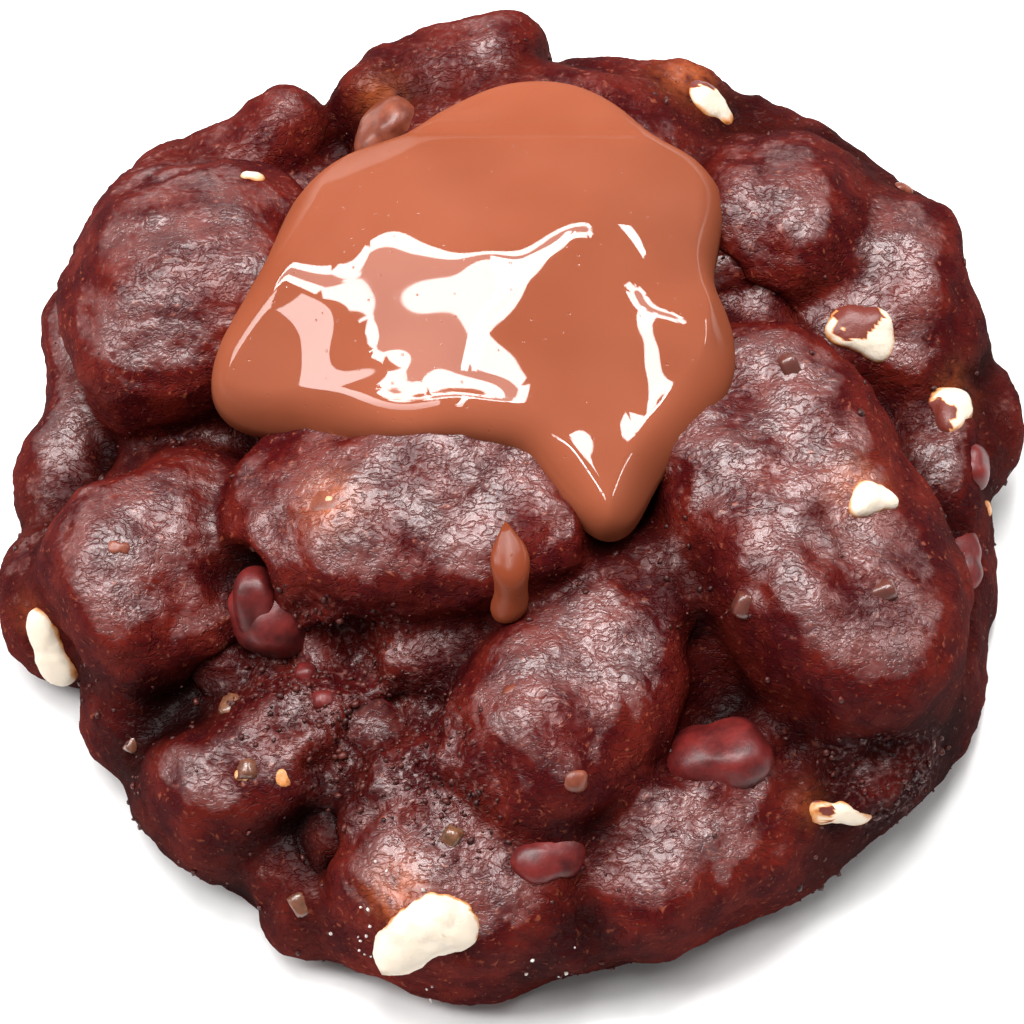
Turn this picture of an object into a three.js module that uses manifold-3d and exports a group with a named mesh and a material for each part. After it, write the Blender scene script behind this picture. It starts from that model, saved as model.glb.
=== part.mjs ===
// Triple chocolate cookie: a thick, lumpy chocolate cookie about 100 mm across. A pool of milk
// chocolate ganache lies on its crown, with one small drip below it, and white and dark
// chocolate chips are pressed into the dough.
//
// Millimetres, +Z up, the front of the cookie towards -Y. The origin is the middle of the flat
// underside, which lies in the plane z = 0.

import * as THREE from 'three';
import { mergeVertices } from 'three/addons/utils/BufferGeometryUtils.js';
import Module from 'manifold-3d';

const wasm = await Module();
wasm.setup();

// ---------------------------------------------------------------------------------------------
// Driving sizes
// ---------------------------------------------------------------------------------------------

// The low disc of dough that all the lumps sit on
const DISC_RADIUS = 45.0;
const DISC_TOP = 10.5;
const DISC_UNDER = -4.0;
const DISC_EDGE_ROUND = 6.0;

// How the lumps of dough run together
const CREASE_ROUND = 0.9;
const LUMP_SQUARENESS = 2.6;
const SMOOTH_CREASE_ROUND = 3.0;

// Unevenness of the dough: the size of a swelling and how high it gets. A wander shifts each
// direction by its own stretch of the noise, so each has an offset.
const WANDER_SIZE = 13.0;
const WANDER_HEIGHT = 3.2;
const WANDER_OFFSETS = [0, 40.5, 80.5];
const BUMP_SIZE = 6.0;
const BUMP_HEIGHT = 0.8;
const BUMP_OFFSET = 17.3;
const TORN_SIZE = 4.6;
const TORN_HEIGHT = 1.9;
const TORN_OFFSET = 53.1;
const TORN_FALL = 1.6;
const PIT_EDGE_ROUND = 0.8;

// Lumps of dough: centre, half sizes, turn about Z in degrees, and where a lump isn't straight
// or even, its bend and taper per millimetre of its length
const LUMPS = {
  leftBack: { at: [-30.5, 16.5, 18.5], half: [12.3, 14.0, 12.0], turn: 8 },
  leftFront: { at: [-33.5, -10.5, 12.0], half: [11.5, 10.5, 11.5], turn: 15 },
  middle: { at: [-9.5, -8.0, 19.5], half: [18.0, 10.8, 11.0], turn: 2, bend: 0.006, taper: 0.004 },
  frontMiddle: { at: [5.8, -24.2, 16.0], half: [15.8, 9.0, 10.0], turn: 58, taper: -0.006 },
  rightLong: { at: [26.5, -7.0, 17.0], half: [23.0, 12.3, 13.0], turn: -64, bend: 0.004 },
  rightFoot: { at: [31.0, -18.0, 14.5], half: [11.0, 12.0, 12.5], turn: -70 },
  rightBack: { at: [26.5, 25.5, 16.0], half: [9.5, 10.0, 11.5], turn: 0 },
  rightShoulder: { at: [35.5, 19.5, 12.5], half: [10.5, 12.5, 11.0], turn: -5 },
  crown: { at: [-2.0, 14.0, 18.0], half: [20.0, 18.0, 13.5], turn: 0 },
  crownBack: { at: [3.0, 33.0, 14.5], half: [19.0, 10.0, 11.0], turn: 0 },
  frontLeft: { at: [-22.8, -29.0, 9.5], half: [12.0, 7.0, 8.3], turn: 30 },
  frontLow: { at: [-4.5, -37.3, 8.0], half: [14.0, 12.0, 10.5], turn: 8 },
  frontRight: { at: [17.5, -35.0, 8.5], half: [13.5, 9.0, 9.8], turn: 28 },
  // small lumps between the large ones
  crumbMiddle: { at: [-6.5, -20.3, 16.5], half: [6.0, 3.6, 4.0], turn: 5 },
  crumbRight: { at: [13.0, -14.5, 20.0], half: [5.0, 3.0, 3.0], turn: -30 },
  torn1: { at: [-14.0, -29.5, 9.0], half: [9.0, 6.0, 6.5], turn: 20 },
  torn2: { at: [-20.5, -20.5, 9.5], half: [10.0, 7.5, 6.0], turn: 10 },
  torn3: { at: [-2.5, -30.5, 11.0], half: [8.5, 6.0, 6.5], turn: 20 },
  torn4: { at: [-8.0, -24.0, 9.5], half: [8.0, 6.0, 6.5], turn: 10 },
  gapLeft: { at: [-29.0, 1.5, 11.0], half: [9.0, 5.0, 6.5], turn: 0 },
  gapFront: { at: [15.5, -28.5, 9.5], half: [7.0, 5.0, 5.5], turn: 30 },
  gapFoot: { at: [32.5, -28.5, 8.5], half: [9.0, 5.0, 5.5], turn: 45 },
  gapRight: { at: [40.5, 3.0, 10.5], half: [5.5, 9.0, 7.0], turn: 0 },
  // the scalloped rim, from the right round the back, the left and the front
  rimRight: { at: [45.0, 8.5, 8.0], half: [5.0, 6.5, 6.5], turn: 0 },
  rimRightHigh: { at: [41.5, 20.5, 9.5], half: [5.5, 8.5, 7.0], turn: 14 },
  rimBackRight: { at: [34.5, 29.5, 11.5], half: [9.5, 5.5, 7.0], turn: -45 },
  rimBackCorner: { at: [26.0, 35.5, 12.0], half: [8.0, 5.5, 7.6], turn: -38 },
  rimBack: { at: [13.5, 41.5, 14.0], half: [10.0, 5.5, 7.6], turn: -6 },
  rimBackHigh: { at: [-5.0, 43.5, 15.5], half: [9.0, 6.5, 8.5], turn: 0 },
  rimBackKnob: { at: [-13.5, 43.0, 14.5], half: [5.0, 5.0, 8.5], turn: 0 },
  rimBackLeft: { at: [-26.5, 37.0, 12.5], half: [9.0, 6.0, 7.5], turn: 28 },
  rimLeftHigh: { at: [-36.5, 30.0, 11.0], half: [9.0, 6.0, 7.5], turn: 50 },
  rimLeft: { at: [-43.0, 10.0, 7.0], half: [5.5, 14.0, 7.0], turn: 0 },
  rimLeftFront: { at: [-43.0, -9.5, 6.5], half: [5.5, 7.5, 6.5], turn: 8 },
  rimFrontLeft: { at: [-35.0, -22.5, 6.0], half: [8.0, 5.5, 6.0], turn: -50 },
  rimUnderLeft: { at: [-29.0, -29.0, 6.0], half: [6.0, 6.0, 6.5], turn: 45 },
  rimUnderFront: { at: [-16.5, -37.5, 6.0], half: [7.5, 6.5, 6.5], turn: 35 },
  rimFront: { at: [5.5, -42.0, 5.5], half: [6.5, 5.0, 5.5], turn: 10 },
  rimFrontRight: { at: [28.5, -31.0, 6.0], half: [9.0, 5.0, 6.5], turn: 40 },
  rimFoot: { at: [41.0, -17.5, 6.5], half: [5.5, 8.5, 6.0], turn: -22 },
  rimRightLow: { at: [44.0, -6.0, 7.0], half: [5.0, 8.5, 6.5], turn: 0 },
};

// Holes in the creases between the lumps: centre and radius
const PITS = [
  { at: [-32.5, 2.5, 13.5], radius: 3.0 },
  { at: [-22.5, -6.0, 15.0], radius: 2.6 },
  { at: [-27.5, -19.5, 13.0], radius: 2.8 },
  { at: [-16.5, -17.5, 15.5], radius: 2.6 },
  { at: [-12.5, -27.0, 15.0], radius: 2.4 },
  { at: [-17.5, -37.5, 12.0], radius: 2.2 },
  { at: [-5.0, -28.5, 16.0], radius: 2.4 },
  { at: [20.5, 19.0, 21.0], radius: 3.2 },
  { at: [24.0, 15.5, 20.0], radius: 2.6 },
  { at: [14.5, -25.0, 14.0], radius: 3.0 },
  { at: [19.0, -12.0, 19.0], radius: 2.6 },
  { at: [2.0, -14.5, 20.0], radius: 2.2 },
  { at: [-25.4, -14.4, 21.6], radius: 3.0 },
];

// Torn, crumbly places: centre and reach
const TORN_PLACES = [
  { at: [-16.5, -23.0, 14.0], reach: 13.0 },
  { at: [-7.0, -33.0, 16.0], reach: 10.0 },
  { at: [33.0, -28.0, 12.0], reach: 8.0 },
  { at: [-30.0, 2.0, 14.0], reach: 6.0 },
];

// Meshes: cells along one side of a surface's grid, rounds of evening out, and how far each
// round moves a vertex towards the middle of its neighbours
const DOUGH_CELLS = 58;
const DOUGH_EVENING = 70;
const GANACHE_CELLS = 20;
const GANACHE_EVENING = 10;
const OUTLINE_STEPS = 400;
const OUTLINE_EVENING = 60;
const EVENING_SHARE = 0.6;
const EDGE_EVENING_SHARE = 0.3;

// Fit of the pieces: the gap to the dough, and how far the pool's pocket is grown for it, which
// is more because the pool has a sharp hidden edge
const CLEARANCE = 0.3;
const POOL_GROWTH = 0.5;

// Ganache: the thickness of the pool, how wide its rounded edge is, how far its edge dips into
// the dough, and how far its hidden side lies below the dough's soft form. Near its edge, over
// the soft width, it clings to the dough's own bumps and creases, up to a depth.
const GANACHE_THICKNESS = 2.9;
const GANACHE_EDGE_WIDTH = 3.2;
const GANACHE_EDGE_DIP = 1.0;
const GANACHE_HIDDEN_DEPTH = 1.8;
const GANACHE_SOFT_WIDTH = 5.0;
const GANACHE_CLING = 1.2;
const GANACHE_CENTRE = [-1.0, 13.0];

// The outline of the pool seen from above, counter-clockwise from its right side
const GANACHE_OUTLINE = [
  [21.4, 4.5], [21.2, 8.5], [19.5, 14.5], [20.2, 19.2], [20.8, 23.4], [18.4, 28.0],
  [13.8, 30.6], [10.8, 34.0], [6.0, 37.0], [-1.0, 37.6], [-7.2, 34.4], [-11.2, 30.0],
  [-15.8, 28.4], [-20.6, 24.6], [-23.2, 16.0], [-25.7, 10.8], [-28.4, 6.5], [-28.8, 2.6],
  [-26.4, 0.0], [-20.0, -1.5], [-11.5, -4.6], [-3.0, -5.2], [1.6, -6.2], [4.4, -9.8],
  [6.6, -13.0], [9.0, -13.8], [11.2, -12.2], [13.2, -7.6], [16.2, -3.4], [20.3, 1.0],
];

// Swells and dips of the pool: place, reach and height
const GANACHE_SWELLS = [
  { at: [-12.1, 19.8], reach: 5.7, height: 1.4 },
  { at: [6.5, 16.5], reach: 6.1, height: 1.6 },
  { at: [-2.4, 19.5], reach: 5.0, height: -1.2 },
  { at: [-3.1, 9.5], reach: 5.5, height: -0.7 },
  { at: [-4.2, 10.8], reach: 8.8, height: 0.8 },
  { at: [18.6, 28.4], reach: 3.9, height: -0.3 },
  { at: [-13.8, 1.6], reach: 4.9, height: 0.6 },
  { at: [16.5, 7.3], reach: 6.0, height: 1.6 },
  { at: [-2.6, 33.6], reach: 4.1, height: -0.8 },
  { at: [11.8, -0.5], reach: 4.1, height: -0.3 },
];

// Chips: a point near the dough's surface, how far the edge reaches from the middle every 45
// degrees round the dough's own slope, the height along the slope, and how deep the middle lies
// under the surface. A chip that lies on its side also has a tip: its middle, the way it points,
// and its half width and half length.
const WHITE_CHIPS = {
  back: {
    at: [20.1, 39.2, 20.5], reaches: [1.6, 1.3, 1.5, 2.7, 3.0, 2.0, 2.0, 3.6], height: 2.2, depth: 1.0,
  },
  shoulder: {
    at: [34.1, 12.0, 21.3], reaches: [3.3, 2.9, 2.8, 3.2, 3.9, 2.2, 2.4, 3.5], height: 2.4, depth: 1.2,
  },
  right: {
    at: [42.3, 6.3, 17.4], reaches: [2.6, 2.6, 2.4, 2.7, 2.3, 2.0, 3.6, 2.2], height: 2.2, depth: 1.0,
  },
  long_lump: {
    at: [33.4, -10.0, 28.4], reaches: [2.9, 1.8, 1.7, 1.9, 2.3, 2.5, 1.8, 1.5], height: 1.9, depth: 1.0,
  },
  left: {
    at: [-44.5, -15.8, 8.6], reaches: [2.1, 2.0, 4.6, 2.4, 1.7, 2.3, 4.1, 3.4], height: 2.3, depth: 1.0,
  },
  front: {
    at: [-7.1, -48.0, 15.9], reaches: [4.6, 3.6, 3.6, 3.0, 4.1, 5.6, 2.8, 2.7], height: 2.8, depth: 1.3,
  },
  sliver: {
    at: [30.2, -34.9, 12.9], reaches: [4.0, 1.7, 1.3, 1.6, 4.4, 1.3, 1.1, 1.4], height: 1.5, depth: 0.7,
  },
};
const DARK_CHIPS = {
  middle: {
    at: [-23.1, -18.6, 16.8],
    reaches: [4.2, 4.2, 4.3, 4.7, 5.4, 5.2, 4.6, 4.2],
    height: 4.0,
    depth: 1.0,
    tip: { at: [-24.0, -16.6, 19.6], way: [-0.1, 0.6, 0.8], width: 2.1, length: 3.6 },
  },
  front: {
    at: [18.3, -30.5, 17.9], reaches: [5.4, 3.9, 3.2, 4.2, 5.7, 3.9, 3.3, 4.6], height: 3.0, depth: 1.2,
  },
  rim: {
    at: [45.2, 0.4, 15.5], reaches: [2.0, 2.2, 2.3, 2.2, 2.0, 2.2, 2.3, 2.2], height: 1.9, depth: 0.8,
  },
  side: {
    at: [43.4, -8.6, 13.0], reaches: [1.8, 2.3, 3.6, 2.3, 1.8, 2.3, 3.6, 2.3], height: 1.9, depth: 0.8,
  },
  low: {
    at: [3.7, -41.4, 17.0], reaches: [3.7, 3.2, 2.2, 2.2, 3.6, 3.1, 2.3, 2.3], height: 2.2, depth: 1.1,
  },
};
const MILK_CHIPS = {
  back: {
    at: [-13.0, 35.4, 22.3], reaches: [3.5, 3.5, 3.0, 2.8, 3.4, 3.6, 3.0, 2.7], height: 2.8, depth: 1.0,
  },
};
const CHIP_LARGE = 4.5;
const CHIP_SQUARENESS = 2.8;
const CHIP_UNEVENNESS = 0.14;
const CHIP_UNEVEN_SIZE = 1.3;
const CHIP_OFFSET = 5.7;

// The drip of ganache below the pool: points near its run down the dough's face, how far its
// middle lies off the dough, its radius, and how bluntly it ends. Its thickness comes and goes
// by a share, is largest at a knot, and is so again after a wave, as shares of its length.
const DRIP_RUN = [
  [-0.6, -13.0, 30.0], [-0.2, -16.4, 28.4], [-0.1, -19.2, 25.0], [-0.3, -20.2, 21.4],
];
const DRIP_LIFT = 0.5;
const DRIP_RADIUS = 1.8;
const DRIP_BLUNTNESS = 0.7;
const DRIP_WAIST = 0.14;
const DRIP_KNOT = 0.30;
const DRIP_WAVE = 0.45;

// Coarse sugar crystals pressed into the dough: small blocks of nearly even sides
const CRYSTAL_SIZE = 1.7;
const CRYSTAL_SIDES = [1.0, 1.2, 0.9];
const CRYSTAL_SINK = 0.35;
const CRYSTAL_SEED = 7;
const CRYSTALS = [
  [-36.1, -26.9, 10.6], [-5.5, -39.6, 18.1], [-19.9, -42.9, 9.9], [-26.5, -24.8, 15.0],
  [-24.7, -32.5, 17.2], [34.2, -19.2, 27.9], [26.1, 3.6, 29.7], [21.1, -20.2, 26.7],
];

// Colours and how rough each is
const FINISHES = {
  dough: { color: '#3c1412', roughness: 0.62 },
  ganache: { color: '#a85a3a', roughness: 0.12 },
  whiteChocolate: { color: '#f6ead8', roughness: 0.45 },
  darkChocolate: { color: '#4a1a17', roughness: 0.45 },
  milkChocolate: { color: '#7a3f2c', roughness: 0.45 },
};

// ---------------------------------------------------------------------------------------------
// Noise: a smooth random height, from slopes dealt out to the corners of a grid of unit cells
// ---------------------------------------------------------------------------------------------

const NOISE_SEED = 2024;
const RANDOM_FACTOR = 16807;
const RANDOM_RANGE = 2147483647;

/** The whole number after `state` in a repeatable random row. */
function nextState(state) {
  return (state * RANDOM_FACTOR) % RANDOM_RANGE;
}

/** The numbers 0 to 255 in a shuffled order. */
function shuffledBytes(seed) {
  const table = Array.from({ length: 256 }, (_, i) => i);
  let state = seed;
  for (let i = 255; i > 0; i -= 1) {
    state = nextState(state);
    const j = state % (i + 1);
    [table[i], table[j]] = [table[j], table[i]];
  }
  return table;
}

const SHUFFLED = shuffledBytes(NOISE_SEED);

/** The random height at a point, about -1 to 1, with swellings one unit across. */
function noise(x, y, z) {
  const cell = [Math.floor(x), Math.floor(y), Math.floor(z)];
  const part = [x - cell[0], y - cell[1], z - cell[2]];
  const ease = part.map((f) => f * f * f * (f * (f * 6 - 15) + 10));
  let total = 0;
  for (let corner = 0; corner < 8; corner += 1) {
    const dx = corner & 1;
    const dy = (corner >> 1) & 1;
    const dz = corner >> 2;
    const weightX = dx ? ease[0] : 1 - ease[0];
    const weightY = dy ? ease[1] : 1 - ease[1];
    const weightZ = dz ? ease[2] : 1 - ease[2];
    const hashX = SHUFFLED[(cell[0] + dx) & 255];
    const hashY = SHUFFLED[(hashX + cell[1] + dy) & 255];
    const hash = SHUFFLED[(hashY + cell[2] + dz) & 255];
    const slopeX = (hash & 15) / 7.5 - 1;
    const slopeY = (hash >> 4) / 7.5 - 1;
    const slopeZ = SHUFFLED[hash] / 127.5 - 1;
    const rise = slopeX * (part[0] - dx) + slopeY * (part[1] - dy) + slopeZ * (part[2] - dz);
    total += weightX * weightY * weightZ * rise;
  }
  return total;
}

/** Noise with swellings of a given size, from a stretch of its own. */
function sizedNoise(x, y, z, size, offset) {
  return noise(x / size + offset, y / size + offset, z / size + offset);
}

// ---------------------------------------------------------------------------------------------
// The form of the dough, as a distance: negative inside, positive outside
// ---------------------------------------------------------------------------------------------

const lumps = Object.values(LUMPS).map((lump) => {
  const turn = THREE.MathUtils.degToRad(lump.turn);
  return {
    at: lump.at,
    half: lump.half,
    cos: Math.cos(turn),
    sin: Math.sin(turn),
    bend: lump.bend ?? 0,
    taper: lump.taper ?? 0,
    size: Math.hypot(...lump.half),
  };
});

/** Distance to the low disc with a rounded edge. */
function discDistance(x, y, z) {
  const middle = (DISC_TOP + DISC_UNDER) / 2;
  const halfHeight = (DISC_TOP - DISC_UNDER) / 2;
  const out = Math.hypot(x, y) - (DISC_RADIUS - DISC_EDGE_ROUND);
  const up = Math.abs(z - middle) - (halfHeight - DISC_EDGE_ROUND);
  const corner = Math.hypot(Math.max(out, 0), Math.max(up, 0));
  return corner + Math.min(Math.max(out, up), 0) - DISC_EDGE_ROUND;
}

/** Distance to one lump: a squarish ellipsoid, turned about Z, bent and tapered. */
function lumpDistance(lump, dx, dy, dz) {
  const along = dx * lump.cos + dy * lump.sin;
  const across = -dx * lump.sin + dy * lump.cos + lump.bend * along * along;
  const girth = 1 + lump.taper * along;
  const unit = [along / lump.half[0], across / girth / lump.half[1], dz / girth / lump.half[2]];
  let sum = 0;
  let slope = 0;
  for (let axis = 0; axis < 3; axis += 1) {
    const size = Math.abs(unit[axis]) + 1e-6;
    const power = size ** (LUMP_SQUARENESS - 1);
    sum += power * size;
    slope += (power / lump.half[axis]) ** 2;
  }
  const reach = sum ** (1 / LUMP_SQUARENESS);
  return (reach - 1) / (Math.sqrt(slope) * reach ** (1 - LUMP_SQUARENESS));
}

// Distances count up to a limit, and a lump counts within its size and some crease widths
const LIMIT = 40;
const CREASE_REACH = 6;

/** Distance to the lumps and the disc, run together with creases of the given roundness. */
function lumpyDistance(x, y, z, round) {
  const shifts = WANDER_OFFSETS.map((offset) => sizedNoise(x, y, z, WANDER_SIZE, offset));
  const px = x + WANDER_HEIGHT * shifts[0];
  const py = y + WANDER_HEIGHT * shifts[1];
  const pz = z + WANDER_HEIGHT * shifts[2];
  const share = (distance) => Math.exp(-THREE.MathUtils.clamp(distance, -LIMIT, LIMIT) / round);
  let sum = share(discDistance(px, py, pz));
  for (const lump of lumps) {
    const dx = px - lump.at[0];
    const dy = py - lump.at[1];
    const dz = pz - lump.at[2];
    const near = lump.size + CREASE_REACH * round;
    if (dx * dx + dy * dy + dz * dz < near * near) {
      sum += share(lumpDistance(lump, dx, dy, dz));
    }
  }
  return -round * Math.log(sum);
}

/** Distance after the pits are sunk into it. */
function pittedDistance(x, y, z, distance) {
  let result = distance;
  for (const pit of PITS) {
    const hole = pit.radius - Math.hypot(x - pit.at[0], y - pit.at[1], z - pit.at[2]);
    const top = Math.max(result, hole);
    const shareOfDough = Math.exp((result - top) / PIT_EDGE_ROUND);
    const shareOfHole = Math.exp((hole - top) / PIT_EDGE_ROUND);
    result = top + PIT_EDGE_ROUND * Math.log(shareOfDough + shareOfHole);
  }
  return result;
}

/** Height of the small bumps, higher where the dough is torn. */
function bumpHeight(x, y, z) {
  let torn = 0;
  for (const place of TORN_PLACES) {
    const away = Math.hypot(x - place.at[0], y - place.at[1], z - place.at[2]);
    torn = Math.max(torn, THREE.MathUtils.clamp(TORN_FALL * (1 - away / place.reach), 0, 1));
  }
  const bump = BUMP_HEIGHT * sizedNoise(x, y, z, BUMP_SIZE, BUMP_OFFSET);
  return bump + TORN_HEIGHT * torn * sizedNoise(x, y, z, TORN_SIZE, TORN_OFFSET);
}

/** Distance to the dough as it is baked, with its pits and bumps. */
function doughDistance(x, y, z) {
  const pitted = pittedDistance(x, y, z, lumpyDistance(x, y, z, CREASE_ROUND));
  return pitted + bumpHeight(x, y, z);
}

/** The dough without its bumps and with soft creases, as a thick liquid lies over it. */
function softDistance(x, y, z) {
  return lumpyDistance(x, y, z, SMOOTH_CREASE_ROUND);
}

// A slope squared below this counts as this much, so that no step gets too long
const LEAST_SLOPE = 0.2;

/** The slope of a distance at a point. */
function slopeOf(distance, p) {
  const step = 0.05;
  return new THREE.Vector3(
    distance(p.x + step, p.y, p.z) - distance(p.x - step, p.y, p.z),
    distance(p.x, p.y + step, p.z) - distance(p.x, p.y - step, p.z),
    distance(p.x, p.y, p.z + step) - distance(p.x, p.y, p.z - step),
  ).divideScalar(2 * step);
}

/** Moves a point to where the distance has the given value, by the shortest way. */
function settle(distance, p, level = 0, rounds = 3) {
  for (let round = 0; round < rounds; round += 1) {
    const slope = slopeOf(distance, p);
    const miss = distance(p.x, p.y, p.z) - level;
    const share = miss / Math.max(slope.lengthSq(), LEAST_SLOPE);
    p.addScaledVector(slope, -THREE.MathUtils.clamp(share, -1.5, 1.5));
  }
  return p;
}

/** The first point of the form on the way from a start in a direction. */
function meet(distance, start, direction) {
  const p = start.clone();
  const longest = 3;
  const care = 0.8;
  for (let step = 0; step < 200; step += 1) {
    const gap = distance(p.x, p.y, p.z);
    if (gap < 0.01) {
      break;
    }
    p.addScaledVector(direction, Math.min(gap, longest) * care);
  }
  return p;
}

// ---------------------------------------------------------------------------------------------
// Surfaces on a square grid that is bent into a disc
// ---------------------------------------------------------------------------------------------

/** A plane of cells x cells, with each vertex's radius (0 to 1) and angle in a disc. */
function discGrid(cells) {
  const plane = new THREE.PlaneGeometry(2, 2, cells, cells);
  const position = plane.attributes.position;
  const spots = [];
  for (let i = 0; i < position.count; i += 1) {
    const a = position.getX(i);
    const b = position.getY(i);
    if (a === 0 && b === 0) {
      spots.push({ radius: 0, angle: 0 });
    } else if (Math.abs(a) > Math.abs(b)) {
      spots.push({ radius: a, angle: (Math.PI / 4) * (b / a) });
    } else {
      spots.push({ radius: b, angle: Math.PI / 2 - (Math.PI / 4) * (a / b) });
    }
  }
  return { spots, index: Array.from(plane.index.array) };
}

/** The vertices round the edge of a grid, counter-clockwise seen from above. */
function edgeLoop(cells) {
  const side = cells + 1;
  const steps = Array.from({ length: cells }, (_, i) => i);
  return [
    ...steps.map((i) => cells * side + i),
    ...steps.map((i) => (cells - i) * side + cells),
    ...steps.map((i) => cells - i),
    ...steps.map((i) => i * side),
  ];
}

/** The vertices beside one: its four in the grid, or two along the edge if it is on it. */
function neighbours(vertex, cells, loop, onEdge) {
  if (onEdge.has(vertex)) {
    const place = onEdge.get(vertex);
    return [loop[(place + 1) % loop.length], loop.at(place - 1)];
  }
  return [vertex - 1, vertex + 1, vertex - cells - 1, vertex + cells + 1];
}

/** Makes a solid of points and triangles, grown by a margin. */
function makeSolid(points, triangles, margin = 0) {
  const geometry = new THREE.BufferGeometry();
  geometry.setFromPoints(points);
  geometry.setIndex(triangles);
  return toSolid(geometry, margin);
}

/** Turns a closed geometry, grown by a margin, into a solid that can be joined and cut. */
function toSolid(geometry, margin = 0) {
  const bare = geometry.clone();
  bare.deleteAttribute('normal');
  bare.deleteAttribute('uv');
  const merged = mergeVertices(bare);
  merged.computeVertexNormals();
  const outward = merged.attributes.normal.array;
  return new wasm.Manifold(new wasm.Mesh({
    numProp: 3,
    vertProperties: merged.attributes.position.array.map((part, i) => part + margin * outward[i]),
    triVerts: new Uint32Array(merged.index.array),
  }));
}

/** The largest of the loose bodies that a cut leaves. */
function largestBody(solid) {
  return solid.decompose().reduce((best, body) => (body.volume() > best.volume() ? body : best));
}

/** A mesh of a solid, in a material of its own. */
function makeMesh(name, solid, finish) {
  const { vertProperties, triVerts } = solid.getMesh();
  const geometry = new THREE.BufferGeometry();
  geometry.setAttribute('position', new THREE.BufferAttribute(vertProperties, 3));
  geometry.setIndex(new THREE.BufferAttribute(triVerts, 1));
  geometry.computeVertexNormals();
  const mesh = new THREE.Mesh(geometry, new THREE.MeshStandardMaterial(finish));
  mesh.name = name;
  return mesh;
}

// ---------------------------------------------------------------------------------------------
// Dough
// ---------------------------------------------------------------------------------------------

/** The direction of an angle in the plane, or against it for a negative radius. */
function sideways(radius, angle) {
  return new THREE.Vector3(Math.cos(angle), Math.sin(angle), 0).multiplyScalar(Math.sign(radius));
}

/** The upper side of the dough: rays from all round meet it, then the net is evened out. */
function doughPoints(grid) {
  const flatShare = 0.75;
  const turnFrom = 0.5;
  const coreRadius = 36;
  const coreHeight = 8;
  const far = 70;
  const points = grid.spots.map(({ radius, angle }) => {
    const out = Math.abs(radius);
    const side = sideways(radius, angle);
    const core = side.clone().multiplyScalar(coreRadius * Math.min(out / flatShare, 1));
    core.z = coreHeight * (1 - THREE.MathUtils.clamp((out - flatShare) / (1 - flatShare), 0, 1));
    const rise = (Math.PI / 2) * (1 - THREE.MathUtils.smoothstep(out, turnFrom, 1));
    const way = side.multiplyScalar(Math.cos(rise)).setZ(Math.sin(rise));
    return meet(doughDistance, core.addScaledVector(way, far), way.negate());
  });
  const loop = edgeLoop(DOUGH_CELLS);
  const onEdge = new Map(loop.map((vertex, i) => [vertex, i]));
  for (let round = 0; round < DOUGH_EVENING; round += 1) {
    const before = points.map((p) => p.clone());
    points.forEach((p, i) => {
      const around = neighbours(i, DOUGH_CELLS, loop, onEdge);
      const mean = around.reduce((sum, n) => sum.add(before[n]), new THREE.Vector3());
      p.lerp(mean.divideScalar(around.length), EVENING_SHARE);
      settleOnDough(p, onEdge.has(i));
    });
  }
  return points;
}

/** Puts a point back on the dough; a point of the edge stays in the plane of the underside. */
function settleOnDough(p, isEdge) {
  const lowest = 0.05;
  const slope = slopeOf(doughDistance, p);
  if (isEdge) {
    slope.z = 0;
  }
  const miss = doughDistance(p.x, p.y, p.z) / Math.max(slope.lengthSq(), LEAST_SLOPE);
  p.addScaledVector(slope, -THREE.MathUtils.clamp(miss, -1, 1));
  p.z = isEdge ? 0 : Math.max(p.z, lowest);
}

/** The dough as a solid whose upper side is pushed out by a margin. */
function doughSolid(grid, points, margin) {
  const loop = edgeLoop(DOUGH_CELLS);
  const onEdge = new Set(loop);
  const moved = points.map((p, i) => {
    const slope = slopeOf(doughDistance, p);
    if (onEdge.has(i)) {
      slope.z = 0;
    }
    return p.clone().addScaledVector(slope.normalize(), margin);
  });
  const middle = moved.push(new THREE.Vector3(0, 0, 0)) - 1;
  const triangles = [...grid.index];
  loop.forEach((vertex, i) => triangles.push(middle, loop[(i + 1) % loop.length], vertex));
  return makeSolid(moved, triangles);
}

/** Sugar crystals: small blocks, turned at random, half sunk into the dough. */
function crystalSolids() {
  let state = CRYSTAL_SEED;
  const random = () => {
    state = nextState(state);
    return state / RANDOM_RANGE;
  };
  return CRYSTALS.map((at) => {
    const place = settle(doughDistance, new THREE.Vector3(...at), -CRYSTAL_SINK, 8);
    const size = CRYSTAL_SIZE * (0.8 + 0.4 * random());
    const block = new THREE.BoxGeometry(...CRYSTAL_SIDES.map((side) => side * size));
    const turn = new THREE.Euler(random() * Math.PI, random() * Math.PI, random() * Math.PI);
    block.applyMatrix4(new THREE.Matrix4().makeRotationFromEuler(turn));
    block.translate(place.x, place.y, place.z);
    return toSolid(block);
  });
}

// ---------------------------------------------------------------------------------------------
// Ganache
// ---------------------------------------------------------------------------------------------

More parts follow.
